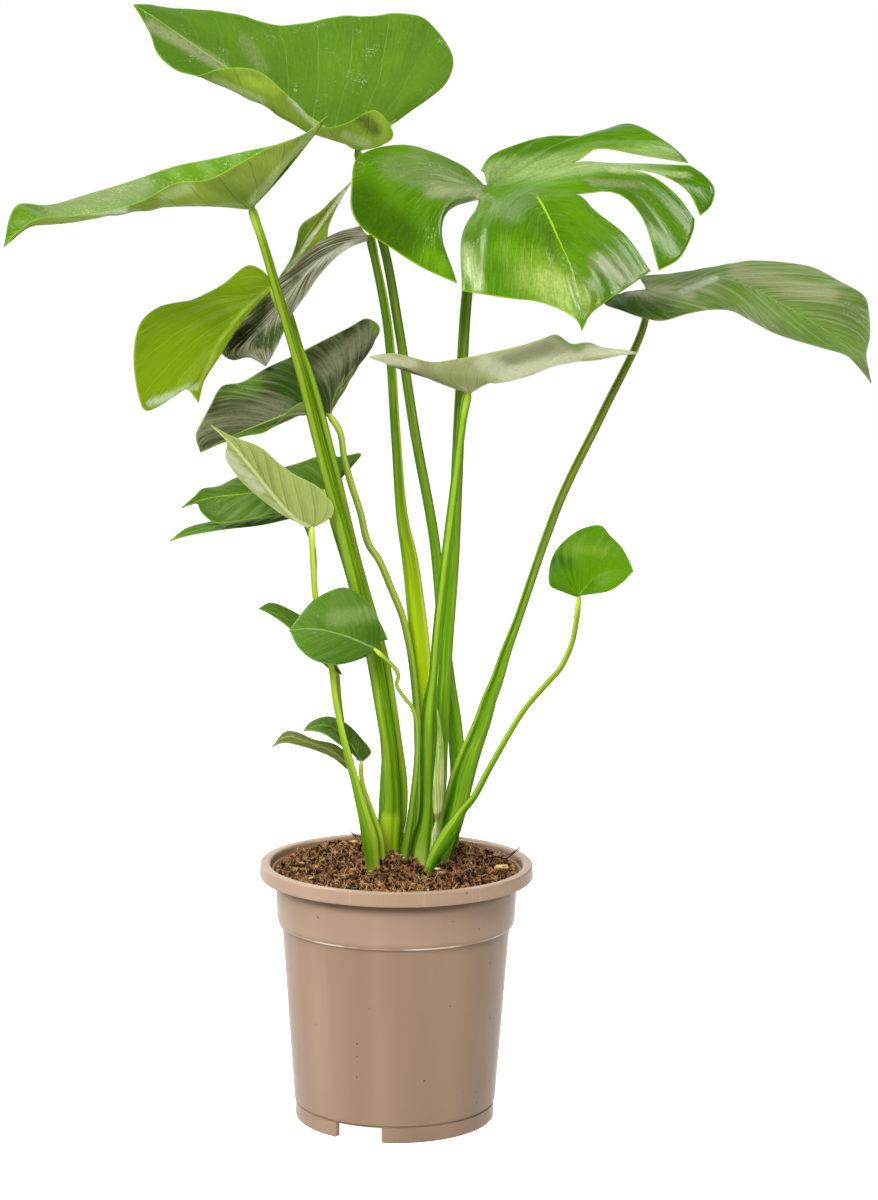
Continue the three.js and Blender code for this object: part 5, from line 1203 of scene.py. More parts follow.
# %% [markdown]
# ## Stalks
# Each leaf stands on one long stalk that widens towards the soil, where its sheath makes a groove with
# raised edges. A stalk could be a bevelled curve, but its section changes along it, so it is lofted: a
# ring of points at each step, shaped by an angle and by how far down it is. A stalk is smooth and waxy.
# The light and shade that its faces catch are painted on as broad bands, a few to each stalk, which run
# its whole length.

# %% Stalk meshes
STALK_ROUND = 36
STALK_STEP = 2.5 * MM
STALK_ROOT = 24
KNEE_LENGTH = 7 * MM
KNEE_SWELL = 0.16
TIP_SHARE = 0.55
TIP_WIDENS = (-0.2 * MM, 3 * MM)
TIP_REACH = 1.2 * MM
BACK_ANGLE = -math.pi / 2
GROOVE_HALF = 0.34
LIP_PLACE = 0.8
LIP_HALF = 0.3
LIP_HEIGHT_SHARE = 0.35
GROOVES = {"left": (70, 0.16), "middle": (38, 0.16), "right": (128, 0.2), "strap": (40, 0.12),
           "split": (75, 0.1), "top": (60, 0.1), "heart": (120, 0.2), "pale": (60, 0.2)}
OTHER_GROOVE = (70, 0.1)


def stalk_line(leaf):
    """Rings along the stalk, top first: a centre with its two half-widths."""
    rows = [np.array([*seen(p[:3]), p[3] * MM, p[-1] * MM]) for p in leaf["stalk"]]
    foot = rows[-1].copy()
    foot[2] -= STALK_ROOT * MM
    rows.append(foot)
    padded = [2 * rows[0] - rows[1], *rows, 2 * rows[-1] - rows[-2]]
    rings = []
    for i in range(len(rows) - 1):
        steps = math.ceil(np.linalg.norm(rows[i + 1][:3] - rows[i][:3]) / STALK_STEP)
        rings += [hermite(*padded[i:i + 4], t) for t in np.arange(steps) / steps]
    first = rings[0].copy()
    way = rings[1][:3] - rings[0][:3]
    first[:3] -= way / np.linalg.norm(way) * TIP_REACH
    return np.array([first, *rings, rows[-1]])


def stalk_mesh(leaf):
    """A tube of rings, each shaped by its groove and the groove's lips."""
    rings = stalk_line(leaf)
    centres, wide, deep = rings[:, :3], rings[:, 3], rings[:, 4]
    travelled = np.concatenate([[0], np.cumsum(np.linalg.norm(np.diff(centres, axis=0), axis=1))])
    knee = TIP_SHARE + (1 - TIP_SHARE) * eased(travelled, *TIP_WIDENS)
    knee = knee + KNEE_SWELL * np.exp(-(((travelled - KNEE_LENGTH) / KNEE_LENGTH) ** 2))
    ways = np.gradient(centres, axis=0)
    ways /= np.linalg.norm(ways, axis=1, keepdims=True)
    down = travelled / travelled[-1]
    turn, depth = GROOVES.get(leaf["name"], OTHER_GROOVE)
    angles = BACK_ANGLE + 2 * math.pi * np.arange(STALK_ROUND) / STALK_ROUND
    off = np.abs((angles - math.radians(turn) + math.pi) % (2 * math.pi) - math.pi)
    groove = np.exp(-((off / GROOVE_HALF) ** 2))
    lips = np.exp(-(((off - LIP_PLACE) / LIP_HALF) ** 2))
    points, grain, depth_down = [], [], []
    across = np.array([1.0, 0, 0])
    for centre, w, d, way, share, length in zip(centres, wide * knee, deep * knee, ways, down, travelled):
        across = across - way * across.dot(way)
        across /= np.linalg.norm(across)
        side = np.cross(way, across)
        cut = depth * (0.2 + 0.8 * eased(share, 0.3, 0.8))
        size = 1 - cut * groove + LIP_HEIGHT_SHARE * cut * lips
        points += [centre + across * w * s * math.cos(a) + side * d * s * math.sin(a)
                   for a, s in zip(angles, size)]
        grain += [(math.cos(a), math.sin(a), length) for a in angles]
        depth_down += [share] * STALK_ROUND
    faces = ring_faces(len(centres), STALK_ROUND)
    faces.append(tuple(range(STALK_ROUND))[::-1])
    last = (len(centres) - 1) * STALK_ROUND
    faces.append(tuple(last + k for k in range(STALK_ROUND)))
    mesh = smooth_mesh(leaf["name"] + "_petiole", points, faces)
    point_attribute(mesh, "grain", grain, "FLOAT_VECTOR")
    point_attribute(mesh, "down", depth_down)
    return mesh


# %% [markdown]
# ## Painted light and shade on a stalk
# The grain attribute holds the direction round the stalk and the length along it, so a band is where that
# direction comes close to the band's own. Each stalk lists its bands of painted shade and painted highlight
# by angle, where 90 faces the camera and 0 its right, with a half-width, and how dark or light the band is.

# %% Stalk finish
STALK_LOOK = dict(knee=(170, 200, 60), high=(104, 146, 24), low=(112, 164, 12), foot=(150, 190, 50),
                  foot_from=0.86, foot_full=0.93)
STALK_LOOKS = {
    "left": dict(knee=(140, 170, 50), high=(104, 136, 18), low=(104, 150, 8), foot=(166, 198, 28),
                 foot_from=0.868, foot_full=0.882),
    "strap": dict(knee=(78, 110, 20), high=(86, 122, 22), low=(176, 206, 10)),
    "top": dict(knee=(76, 106, 24), high=(84, 116, 28), low=(104, 158, 12)),
    "split": dict(knee=(74, 106, 26), high=(80, 114, 26), low=(98, 156, 10)),
    "right": dict(high=(100, 122, 38), low=(88, 142, 10), foot=(80, 128, 14)),
    "middle": dict(high=(124, 170, 24), low=(100, 156, 8), foot=(176, 208, 96)),
    "pale": dict(knee=(206, 222, 90), high=(176, 204, 60), low=(110, 160, 16)),
    "heart": dict(knee=(180, 200, 60), high=(124, 160, 34), low=(88, 144, 14), foot=(72, 128, 20)),
    "upper_small": dict(knee=(206, 216, 110), high=(176, 204, 60), low=(160, 196, 40),
                        foot=(222, 214, 120)),
    "front": dict(knee=(190, 212, 70), high=(120, 156, 40), low=(96, 146, 24)),
    "dark": dict(knee=(156, 174, 80), high=(118, 144, 54), low=(96, 136, 30)),
}
# Painted light on the stalks: bands that darken are painted shade, bands that lighten are painted
# highlight.
SHADE_BAND_TINT = (150, 178, 120)
HIGHLIGHT_AND_STREAK_GREEN = (222, 236, 90)
STALK_SHADING_BANDS = {
    "left": [(72, 10, -0.5), (166, 16, -0.4), (30, 20, -0.35), (112, 24, 0.12), (8, 14, 0.35)],
    "strap": [(150, 30, -0.6), (20, 26, 0.6), (80, 16, -0.2)],
    "top": [(150, 26, -0.6), (60, 22, 0.1), (10, 20, -0.3)],
    "split": [(150, 28, -0.5), (60, 26, 0.1), (10, 24, -0.3)],
    "right": [(158, 14, 0.3), (128, 16, -0.75), (70, 24, 0.1), (10, 24, -0.4)],
    "middle": [(148, 26, -0.9), (90, 20, 0.15), (30, 24, -0.4)],
    "pale": [(140, 30, -0.5), (50, 26, 0.35)],
    "heart": [(60, 20, -0.35), (130, 20, 0.3)],
    "dark": [(150, 30, -0.4), (60, 30, 0.3)],
}
OTHER_SHADING_BANDS = [(150, 30, -0.5), (70, 26, 0.2)]
BAND_SOFTNESS = 9
STALK_BUMP = 0.3 * MM
STALK_SHINE = 0.08


def stalk_material(name):
    """Waxy green that changes down the stalk, with painted shade and painted highlight bands along it."""
    look = {**STALK_LOOK, **STALK_LOOKS.get(name, {})}
    material, tree, shader = new_material(name + "_stalk_finish")
    grain = stored(tree, "grain", "Vector")
    down = stored(tree, "down")
    streaks = speckle(tree, grain, (5.0, 5.0, 30.0), 4)
    colour = blend(tree, fade(tree, down, 0.02, 0.06), look["knee"], look["high"])
    colour = layered(tree, colour, (fade(tree, down, 0.3, 0.7), look["low"]),
                     (fade(tree, down, look["foot_from"], look["foot_full"]), look["foot"]))
    wander = maths(tree, "MULTIPLY_ADD", streaks, 0.12, -0.06)
    for angle, half, strength in STALK_SHADING_BANDS.get(name, OTHER_SHADING_BANDS):
        way = (math.cos(math.radians(angle)), math.sin(math.radians(angle)), 0)
        near = add(tree, "VectorMath", {0: grain, 1: way}, operation="DOT_PRODUCT").outputs["Value"]
        outer, inner = (math.cos(math.radians(half + step * BAND_SOFTNESS)) for step in (1, -1))
        mask = fade(tree, maths(tree, "ADD", near, wander), outer, inner, 0.0, abs(strength))
        band = blend(tree, 1.0, colour, SHADE_BAND_TINT, "MULTIPLY") if strength < 0 else HIGHLIGHT_AND_STREAK_GREEN
        colour = blend(tree, mask, colour, band)
    # Pale streaks along the stalk are its own colour, in the same pale green as the painted highlights.
    colour = blend(tree, fade(tree, streaks, 0.5, 0.75, 0.0, 0.25), colour, HIGHLIGHT_AND_STREAK_GREEN)
    rough = maths(tree, "MULTIPLY_ADD", streaks, 0.2, 0.34)
    finish(tree, shader, colour, rough, streaks, 0.2, STALK_BUMP, STALK_SHINE)
    return material


for leaf in LEAVES:
    mesh = stalk_mesh(leaf)
    mesh.materials.append(stalk_material(leaf["name"]))
    place(mesh, "stalk", [leaf["name"] + "_stalk"])
print("stalks", len(LEAVES))

# %% [markdown]
# ## Dry sheath
# A sheath that once wrapped a young leaf has dried to a pale papery strip, curled beside the middle stalk
# with a ragged end. It is a strip between three edge curves, like the solid, but in finer steps and
# thinner.

# %% Dry sheath
SHEATH_EDGES = [
    [[23, 172, 5], [24, 198, 4], [26.6, 209, 3], [24.8, 219, 3], [25.2, 238, 2], [27.2, 266, 2],
     [27, 288, 4]],
    [[25.5, 171, 3], [26.5, 198, 2], [27.6, 209, 1.5], [28.2, 219, 1.5], [29, 238, 0.5], [29.5, 266, 1],
     [27.6, 287, 3.6]],
    [[28, 172, 5], [29, 198, 4], [28.8, 209, 4], [31.6, 219, 4], [32.4, 238, 4], [31.5, 266, 4],
     [28.3, 285, 5]],
]
SHEATH_THICKNESS = 0.5 * MM
SHEATH_CRINKLE = 0.35 * MM
SHEATH_BREAK = 211 * MM
SHEATH_BUMP = 0.4 * MM
SHEATH_LONG = 60
SHEATH_ACROSS = 16


def sheath_mesh():
    """A crinkled strip between the edge curves, with two faces and a rim."""
    curves = [smooth_line([seen(p) for p in edge]) for edge in SHEATH_EDGES]
    rows = []
    for share in np.linspace(0, 1, SHEATH_LONG + 1):
        line = smooth_line([along_line(curve, [share])[0] for curve in curves])
        rows.append(along_line(line, np.linspace(0, 1, SHEATH_ACROSS + 1)))
    grid = np.array(rows)
    for i in range(SHEATH_LONG + 1):
        for j in range(SHEATH_ACROSS + 1):
            grid[i, j, 1] -= SHEATH_CRINKLE * noise.noise(Vector((j * 0.8, i * 0.12, 3.0)))
    long_way = np.gradient(grid, axis=0)
    cross_way = np.gradient(grid, axis=1)
    normals = np.cross(cross_way, long_way)
    normals /= np.linalg.norm(normals, axis=2, keepdims=True)
    front = (grid + normals * SHEATH_THICKNESS / 2).reshape(-1, 3)
    back = (grid - normals * SHEATH_THICKNESS / 2).reshape(-1, 3)
    wide, count = SHEATH_ACROSS + 1, len(front)
    faces = []
    for i in range(SHEATH_LONG):
        for j in range(SHEATH_ACROSS):
            a, b, c, d = i * wide + j, i * wide + j + 1, (i + 1) * wide + j + 1, (i + 1) * wide + j
            faces += [(a, b, c, d), (d + count, c + count, b + count, a + count)]
    loop = [*range(wide), *(i * wide + wide - 1 for i in range(1, SHEATH_LONG + 1))]
    loop += [SHEATH_LONG * wide + j for j in range(wide - 2, -1, -1)]
    loop += [i * wide for i in range(SHEATH_LONG - 1, 0, -1)]
    faces += [(b, a, a + count, b + count) for a, b in zip(loop, loop[1:] + loop[:1])]
    return smooth_mesh("dried_sheath", np.concatenate([front, back]), faces)


def sheath_material():
    material, tree, shader = new_material("papery_sheath")
    place_on = add(tree, "TexCoord").outputs["Object"]
    streaks = speckle(tree, place_on, (900, 900, 26))
    dark_streak = fade(tree, streaks, 0.35, 0.65)
    height = add(tree, "SeparateXYZ", {0: place_on}).outputs[2]
    fresh = blend(tree, dark_streak, (112, 150, 36), (164, 188, 84))
    dried = blend(tree, dark_streak, (150, 172, 74), (212, 220, 150))
    off_break = maths(tree, "ABSOLUTE", maths(tree, "SUBTRACT", height, SHEATH_BREAK))
    colour = layered(tree, dried, (fade(tree, height, 0.235, 0.27), fresh),
                     (fade(tree, speckle(tree, place_on, 90.0), 0.55, 0.75, 0.0, 0.5), (232, 232, 196)),
                     (fade(tree, off_break, 0.001, 0.005, 0.7, 0.0), (128, 104, 50)))
    finish(tree, shader, colour, 0.6, streaks, 0.5, SHEATH_BUMP)
    return material


mesh = sheath_mesh()
mesh.materials.append(sheath_material())
place(mesh, "dry_sheath", ["dry_sheath"])
print("sheath", len(mesh.polygons), "faces")

# %% [markdown]
# ## Pot
# A nursery pot is thin injection-moulded plastic: a rolled rim, a neck band above a step where pots catch
# when they are stacked, a slightly tapered body, and a foot ring with notches that let water out. It is a
# turned shape, so its outline is spun round the axis in fine steps. Each corner of the outline is rounded
# with a small arc. The notches only lift the underside of the foot ring over part of the turn.

# %% Pot mesh
POT_TURN = 288
POT_OUTLINE = [
    (66.0, 0, 0.3), (69.6, 0, 0.8), (69.6, 10.4, 0.3), (68.9, 10.9, 0.15), (68.9, 11.7, 0.15),
    (70.3, 12.2, 0.4), (79.3, 137.3, 0.25), (81.5, 137.3, 0.9), (82.6, 141, 2.0), (84.3, 173, 0.6),
    (85.4, 175.5, 1.0), (92.4, 175.5, 1.0), (93.4, 173.5, 0.8),
    (93.6, 170.4, 0.3), (94.2, 170.2, 0.3), (95, 171.2, 0.7), (94.6, 179.2, 0.6),
    (94.0, 180, 0.7), (89.0, 180, 1.0), (87.4, 178.6, 0.8), (86.8, 177, 0.8), (82.9, 166.5, 1.0),
    (80.3, 142, 1.0), (77.7, 137, 1.0), (68.6, 13, 0.8),
]
CORNER_FIT = 2.2
CRISP = 1.4
CRISP_MOST = 0.48
NOTCH_TOP = 10.7
NOTCH_HALF = math.radians(13.8)
NOTCH_CORNER = math.radians(1.4)
CORNER_HEIGHT = 1.6
NOTCH_MIDDLES = [math.radians(-111 + 120 * i) for i in range(3)]
NOTCH_STEPS = (-0.02, 0.02, 0.15, 0.35, 0.6, 1.0)


def rounded(outline, steps=4):
    """The closed outline with an arc for each corner, and a row beside each arc to keep it crisp."""
    made = []
    corners = [np.array(p[:2], float) for p in outline]
    for i, (corner, (_, _, radius)) in enumerate(zip(corners, outline)):
        ends = []
        beside = []
        for way in (corners[i - 1] - corner, corners[(i + 1) % len(corners)] - corner):
            length = np.linalg.norm(way)
            reach = min(radius, length / CORNER_FIT)
            ends.append(corner + way / length * reach)
            beside.append(corner + way * min(CRISP * reach / length, CRISP_MOST))
        arc = [(1 - t) ** 2 * ends[0] + 2 * t * (1 - t) * corner + t**2 * ends[1]
               for t in np.linspace(0, 1, steps)]
        made += [beside[0], *arc, beside[1]]
    return made


def turned(name, outline, angles, lift):
    """Spins a closed outline of (radius, height) round the pot's axis."""
    points = []
    for angle in angles:
        for radius, height in outline:
            point = (radius * math.cos(angle), radius * math.sin(angle), lift(angle, height))
            points.append(POT_AXIS + MM * np.array(point))
    faces = ring_faces(len(angles) + 1, len(outline), turned=True)
    return smooth_mesh(name, points, [tuple(i % len(points) for i in face) for face in faces])


def notch_lift(angle, height):
    """Lifts what is lower than a notch's top where the notch is, with rounded upper corners."""
    off = min(abs((angle - middle + math.pi) % (2 * math.pi) - math.pi) for middle in NOTCH_MIDDLES)
    if off < NOTCH_HALF:
        return max(height, NOTCH_TOP)
    left = max(1 - (off - NOTCH_HALF) / NOTCH_CORNER, 0)
    return max(height, CORNER_HEIGHT * (1 - math.sqrt(1 - left * left)))


angles = [2 * math.pi * i / POT_TURN for i in range(POT_TURN)]
for middle in NOTCH_MIDDLES:
    angles += [middle + side * (NOTCH_HALF + NOTCH_CORNER * step)
               for side in (-1, 1) for step in NOTCH_STEPS]
angles = sorted(a % (2 * math.pi) for a in angles)
pot_mesh = turned("nursery_pot", rounded(POT_OUTLINE), angles, notch_lift)


# %% Base plate with its drainage holes
PLATE_RADIUS = 68.9
PLATE_LOW = 11
PLATE_HIGH = 13
PLATE_ROUND = 96
DRAINS = 6
DRAIN_CIRCLE = 46
DRAIN_RADIUS = 5
DRAIN_ROUND = 24


def base_plate():
    """A disc with round holes: its outlines are filled with triangles and pulled up."""
    outlines = [(PLATE_RADIUS, PLATE_ROUND, (0, 0))]
    outlines += [(DRAIN_RADIUS, DRAIN_ROUND, on_circle(DRAIN_CIRCLE, i, DRAINS)) for i in range(DRAINS)]
    shape = bmesh.new()
    for radius, sides, centre in outlines:
        loop = []
        for k in range(sides):
            x, y = on_circle(radius, k, sides)
            loop.append(shape.verts.new((centre[0] + x, centre[1] + y, PLATE_LOW)))
        for a, b in zip(loop, loop[1:] + loop[:1]):
            shape.edges.new((a, b))
    bmesh.ops.triangle_fill(shape, edges=shape.edges[:], use_beauty=True)
    bottom = list(shape.faces)
    made = bmesh.ops.extrude_face_region(shape, geom=bottom)["geom"]
    for v in made:
        if isinstance(v, bmesh.types.BMVert):
            v.co.z = PLATE_HIGH
    bmesh.ops.recalc_face_normals(shape, faces=shape.faces[:])
    for v in shape.verts:
        v.co = Vector(POT_AXIS) + v.co * MM
    mesh = bpy.data.meshes.new("pot_base_plate")
    shape.to_mesh(mesh)
    shape.free()
    return mesh


# %% [markdown]
# ## Moulded plastic
# The pot is taupe polypropylene with a satin skin. Up close it has a faint pebble, soft vertical flow
# marks from the mould and a few specks of soil stuck to it. Painted light and shade lie on it as well: a
# painted shadow under the rim, painted shade on the inner wall of the rim, a painted highlight along the
# lip of the step, and a neck band painted lighter above the step. All of it is noise in object
# coordinates, with the flow marks stretched along the height. The heights and radii below are in metres,
# as those coordinates are.

# %% Pot finish
RIM_FACE_LOW = 0.1699
RIM_INNER = (0.0872, 0.0888)
LIP_HEIGHT = 0.1378
LIP_HIGHLIGHT_REACH = (0.0006, 0.0011, 1, 0)
LIT_NECK_HEIGHTS = (0.1385, 0.142)
RIM_SHADOW_HEIGHTS = (0.1615, 0.1672)
PEBBLE_BUMP = 0.2 * MM


def pot_material():
    material, tree, shader = new_material("taupe_plastic")
    place_on = add(tree, "TexCoord").outputs["Object"]
    flow = speckle(tree, place_on, (30, 30, 1.2))
    pebble = speckle(tree, place_on, 900.0, 2)
    cloud = speckle(tree, place_on, 9.0, 2)
    height = add(tree, "SeparateXYZ", {0: place_on}).outputs[2]
    on_rim = maths(tree, "GREATER_THAN", height, RIM_FACE_LOW)
    ticks = fade(tree, speckle(tree, place_on, (240, 240, 6), 1), 0.64, 0.72, 0.0, 0.3)
    off_axis = add(tree, "VectorMath", {0: place_on, 1: tuple(POT_AXIS)}, operation="SUBTRACT").outputs[0]
    level = add(tree, "VectorMath", {0: off_axis, 1: (1, 1, 0)}, operation="MULTIPLY").outputs[0]
    radius = add(tree, "VectorMath", {0: level}, operation="LENGTH").outputs["Value"]
    # Painted shade darkens the top of the rim's inner wall.
    inner_wall_shade = fade(tree, radius, *RIM_INNER, 0.6, 0.0)
    # A painted shadow darkens the neck just under the rim.
    rim_shadow = maths(tree, "SUBTRACT", fade(tree, height, *RIM_SHADOW_HEIGHTS, 0.0, 0.75), on_rim)
    off_lip = maths(tree, "ABSOLUTE", maths(tree, "SUBTRACT", height, LIP_HEIGHT))
    # A painted highlight runs along the lip of the step, broken up by noise.
    lip_highlight = fade(tree, off_lip, *LIP_HIGHLIGHT_REACH)
    highlight_breakup = fade(tree, speckle(tree, place_on, 34.0), 0.4, 0.6, 0.1, 0.8)
    cells = add(tree, "TexVoronoi", {"Vector": place_on, "Scale": 110.0})
    lucky = add(tree, "SeparateColor", {0: cells.outputs["Color"]}).outputs[0]
    specks = maths(tree, "LESS_THAN", cells.outputs["Distance"], fade(tree, lucky, 0.6, 1.0, 0.0, 0.09))
    # The neck band above the step is painted lighter, as light from above falls on it more.
    colour = blend(tree, fade(tree, flow, 0.35, 0.65), (148, 122, 100), (160, 134, 111))
    colour = layered(tree, colour, (times(tree, cloud, 0.4), (164, 141, 122)),
                     (times(tree, ticks, on_rim), (204, 182, 162)),
                     (fade(tree, height, *LIT_NECK_HEIGHTS, 0.0, 0.35), (190, 163, 139)),
                     (times(tree, inner_wall_shade, on_rim), (116, 88, 68)),
                     (maths(tree, "MAXIMUM", rim_shadow, 0.0), (92, 70, 54)),
                     (times(tree, lip_highlight, highlight_breakup), (226, 212, 200)),
                     (times(tree, specks, 0.8), (96, 70, 52)))
    rough = maths(tree, "MULTIPLY_ADD", specks, 0.3, maths(tree, "MULTIPLY_ADD", pebble, 0.1, 0.16))
    finish(tree, shader, colour, rough, pebble, 0.1, PEBBLE_BUMP, 0.2)
    return material


plastic = pot_material()
for mesh in (pot_mesh, base_plate()):
    mesh.materials.append(plastic)
    place(mesh, "pot", ["pot"])
print("pot", len(pot_mesh.polygons), "faces")

# %% [markdown]
# ## Soil
# Peat and coir settle into crumbs a few millimetres across, heaped up against the stalks. The ground is a
# round grid whose height is the one the solid has, roughened by several sizes of noise, and it closes
# down the inside of the pot. The loose matter on it is made by Geometry Nodes further on.

# %% Soil body
SOIL_LEVEL = 174
SOIL_RISE = 4.5
SOIL_EDGE_DROP = 1.5
MOUND_HEIGHT = 10
MOUND_WIDTH = 16
MOUND_CENTRE = (-1, -4)
RIM_RADIUS = 95
SOIL_RADIUS = 84
SOIL_RINGS = 70
SOIL_ROUND = 260
SOIL_GAP = 0.35
SOIL_WALL = [(82.55, 166.5), (79.95, 142), (77.35, 137), (68.25, 13.35)]
WALL_LOW = (82.9, 166.5)
WALL_HIGH = (87.0, 178)
COARSE_CRUMBS = (5.6, 3.3)
FINE_CRUMBS = (2.4, 1.2)


def soil_height(x, y):
    """The settled soil's height, with the solid's own lumps. All is in millimetres from the pot's axis."""
    lumps = math.sin(0.19 * x + 1.3) * math.cos(0.23 * y - 0.4) + 0.6 * math.sin(0.41 * x - 0.31 * y)
    away = math.hypot(x - MOUND_CENTRE[0], y - MOUND_CENTRE[1]) / MOUND_WIDTH
    return SOIL_LEVEL + lumps + SOIL_RISE * y / RIM_RADIUS + MOUND_HEIGHT * math.exp(-away * away)


def crumbs(x, y):
    """Finer roughness of the surface, in millimetres. Each kind has a width and a height."""
    (wide, high), (thin, low) = COARSE_CRUMBS, FINE_CRUMBS
    coarse = noise.fractal(Vector((x / wide, y / wide, 2.0)), 1.0, 2.0, 3)
    fine = noise.noise(Vector((x / thin, y / thin, 7.0)))
    return high * coarse + low * fine


def rim_inside(height):
    """The inner radius of the pot's wall at this height near its rim."""
    rise = (WALL_HIGH[0] - WALL_LOW[0]) / (WALL_HIGH[1] - WALL_LOW[1])
    return WALL_LOW[0] + rise * (height - WALL_LOW[1])


soil_points = [(0, 0, soil_height(0, 0))]
for ring in range(1, SOIL_RINGS + 1):
    radius = SOIL_RADIUS * ring / SOIL_RINGS
    for k in range(SOIL_ROUND):
        cos, sin = on_circle(1, k, SOIL_ROUND)
        height = soil_height(radius * cos, radius * sin)
        if ring == SOIL_RINGS:
            height -= SOIL_EDGE_DROP
            reach = rim_inside(height) - SOIL_GAP
        else:
            height += crumbs(radius * cos, radius * sin)
            reach = radius
        soil_points.append((reach * cos, reach * sin, height))
for radius, height in SOIL_WALL:
    soil_points += [(*on_circle(radius, k, SOIL_ROUND), height) for k in range(SOIL_ROUND)]
soil_rows = SOIL_RINGS + len(SOIL_WALL)
soil_faces = [(0, 1 + k, 1 + (k + 1) % SOIL_ROUND) for k in range(SOIL_ROUND)]
soil_faces += ring_faces(soil_rows, SOIL_ROUND, 1, turned=True)
soil_faces.append(tuple(1 + (soil_rows - 1) * SOIL_ROUND + k for k in range(SOIL_ROUND))[::-1])
soil_mesh = smooth_mesh("potting_soil", [POT_AXIS + MM * np.array(p) for p in soil_points], soil_faces)


# %% Soil finish
CLUMP_SCALE = 260.0
BROAD_SCALE = 45.0
FLECK_SCALE = 520.0
EARTH_BUMP = 1 * MM


def earth_material(name, dark, light, fleck):
    """Dull brown matter, darker where its relief is low and lighter on its crests, with a few pale flecks.
    """
    material, tree, shader = new_material(name)
    place_on = add(tree, "TexCoord").outputs["Object"]
    clumps = speckle(tree, place_on, CLUMP_SCALE, 5)
    broad = speckle(tree, place_on, BROAD_SCALE)
    flecks = fade(tree, speckle(tree, place_on, FLECK_SCALE, 2), 0.66, 0.74, 0.0, 0.8)
    colour = blend(tree, fade(tree, clumps, 0.35, 0.68), dark, light)
    colour = layered(tree, colour, (fade(tree, broad, 0.45, 0.7, 0.0, 0.5), dark), (flecks, fleck))
    finish(tree, shader, colour, 0.95, clumps, 0.8, EARTH_BUMP, 0.2)
    return material


peat = earth_material("moist_peat", (22, 12, 6), (182, 128, 80), (232, 196, 142))
soil_mesh.materials.append(peat)
place(soil_mesh, "soil", ["soil"])
print("soil", len(soil_mesh.polygons), "faces")

# %% [markdown]
# ## Loose matter on the soil
# What makes potting soil read as soil is what lies on it: crumbs of peat, coir fibres that curl in every
# direction, flakes of bark and a few white grains of perlite. Hundreds of near copies spread over a
# surface are what Geometry Nodes are for. One tree scatters any of them: it spreads points over the
# ground, puts a small shape on each at a random turn and size, makes them real, and bends each copy with
# noise so that no two are alike.

# %% The scattering tree
SCATTER_INPUTS = ("Density", "Smallest", "Largest", "Bend", "Bend Size", "Lift")


def scatter_tree(name, shape_of):
    """A tree that spreads the shape made by shape_of over the mesh that it is given."""
    tree = bpy.data.node_groups.new(name, "GeometryNodeTree")
    tree.interface.new_socket("Geometry", in_out="INPUT", socket_type="NodeSocketGeometry")
    for label in SCATTER_INPUTS:
        tree.interface.new_socket(label, in_out="INPUT", socket_type="NodeSocketFloat")
    tree.interface.new_socket("Seed", in_out="INPUT", socket_type="NodeSocketInt")
    tree.interface.new_socket("Material", in_out="INPUT", socket_type="NodeSocketMaterial")
    tree.interface.new_socket("Geometry", in_out="OUTPUT", socket_type="NodeSocketGeometry")
    given = tree.nodes.new("NodeGroupInput").outputs
    seed = {"Seed": given["Seed"]}
    spread = new_node(tree, "GeometryNodeDistributePointsOnFaces",
                      {"Mesh": given["Geometry"], "Density": given["Density"], **seed})
    turn = new_node(tree, "FunctionNodeRandomValue", {1: (2 * math.pi,) * 3, **seed},
                    data_type="FLOAT_VECTOR")
    size = new_node(tree, "FunctionNodeRandomValue", {2: given["Smallest"], 3: given["Largest"], **seed},
                    data_type="FLOAT")
    copies = new_node(tree, "GeometryNodeInstanceOnPoints",
                      {"Points": spread.outputs["Points"], "Instance": shape_of(tree),
                       "Rotation": turn.outputs[0], "Scale": size.outputs[1]})
    real = new_node(tree, "GeometryNodeRealizeInstances", {0: copies.outputs[0]})
    waves = add(tree, "TexNoise", {"Scale": given["Bend Size"], "Detail": 1.0}).outputs["Color"]
    centred = add(tree, "VectorMath", {0: waves, 1: (0.5, 0.5, 0.5)}, operation="SUBTRACT").outputs[0]
    bent = add(tree, "VectorMath", {0: centred, "Scale": given["Bend"]}, operation="SCALE").outputs[0]
    rise = add(tree, "CombineXYZ", {2: given["Lift"]}).outputs[0]
    offset = add(tree, "VectorMath", {0: bent, 1: rise}, operation="ADD").outputs[0]
    moved = new_node(tree, "GeometryNodeSetPosition", {"Geometry": real.outputs[0], "Offset": offset})
    painted = new_node(tree, "GeometryNodeSetMaterial",
                       {"Geometry": moved.outputs[0], "Material": given["Material"]})
    new_node(tree, "NodeGroupOutput", {0: painted.outputs[0]})
    return tree


def scattered(name, ground, tree, material, seed, values):
    """Runs the tree over the ground and returns the result as a plain mesh."""
    holder = bpy.data.objects.new(name + "_holder", ground.copy())
    scene.collection.objects.link(holder)
    modifier = holder.modifiers.new("scatter", "NODES")
    modifier.node_group = tree
    sockets = {item.name: item.identifier for item in tree.interface.items_tree if item.in_out == "INPUT"}
    for label, value in zip(SCATTER_INPUTS, values):
        modifier[sockets[label]] = value
    modifier[sockets["Seed"]] = seed
    modifier[sockets["Material"]] = material
    graph = bpy.context.evaluated_depsgraph_get()
    mesh = bpy.data.meshes.new_from_object(holder.evaluated_get(graph))
    bpy.data.objects.remove(holder)
    mesh.name = name
    return mesh


# %% The ground they lie on
OPEN_RADIUS = 80
OPEN_RINGS = 24
OPEN_ROUND = 72


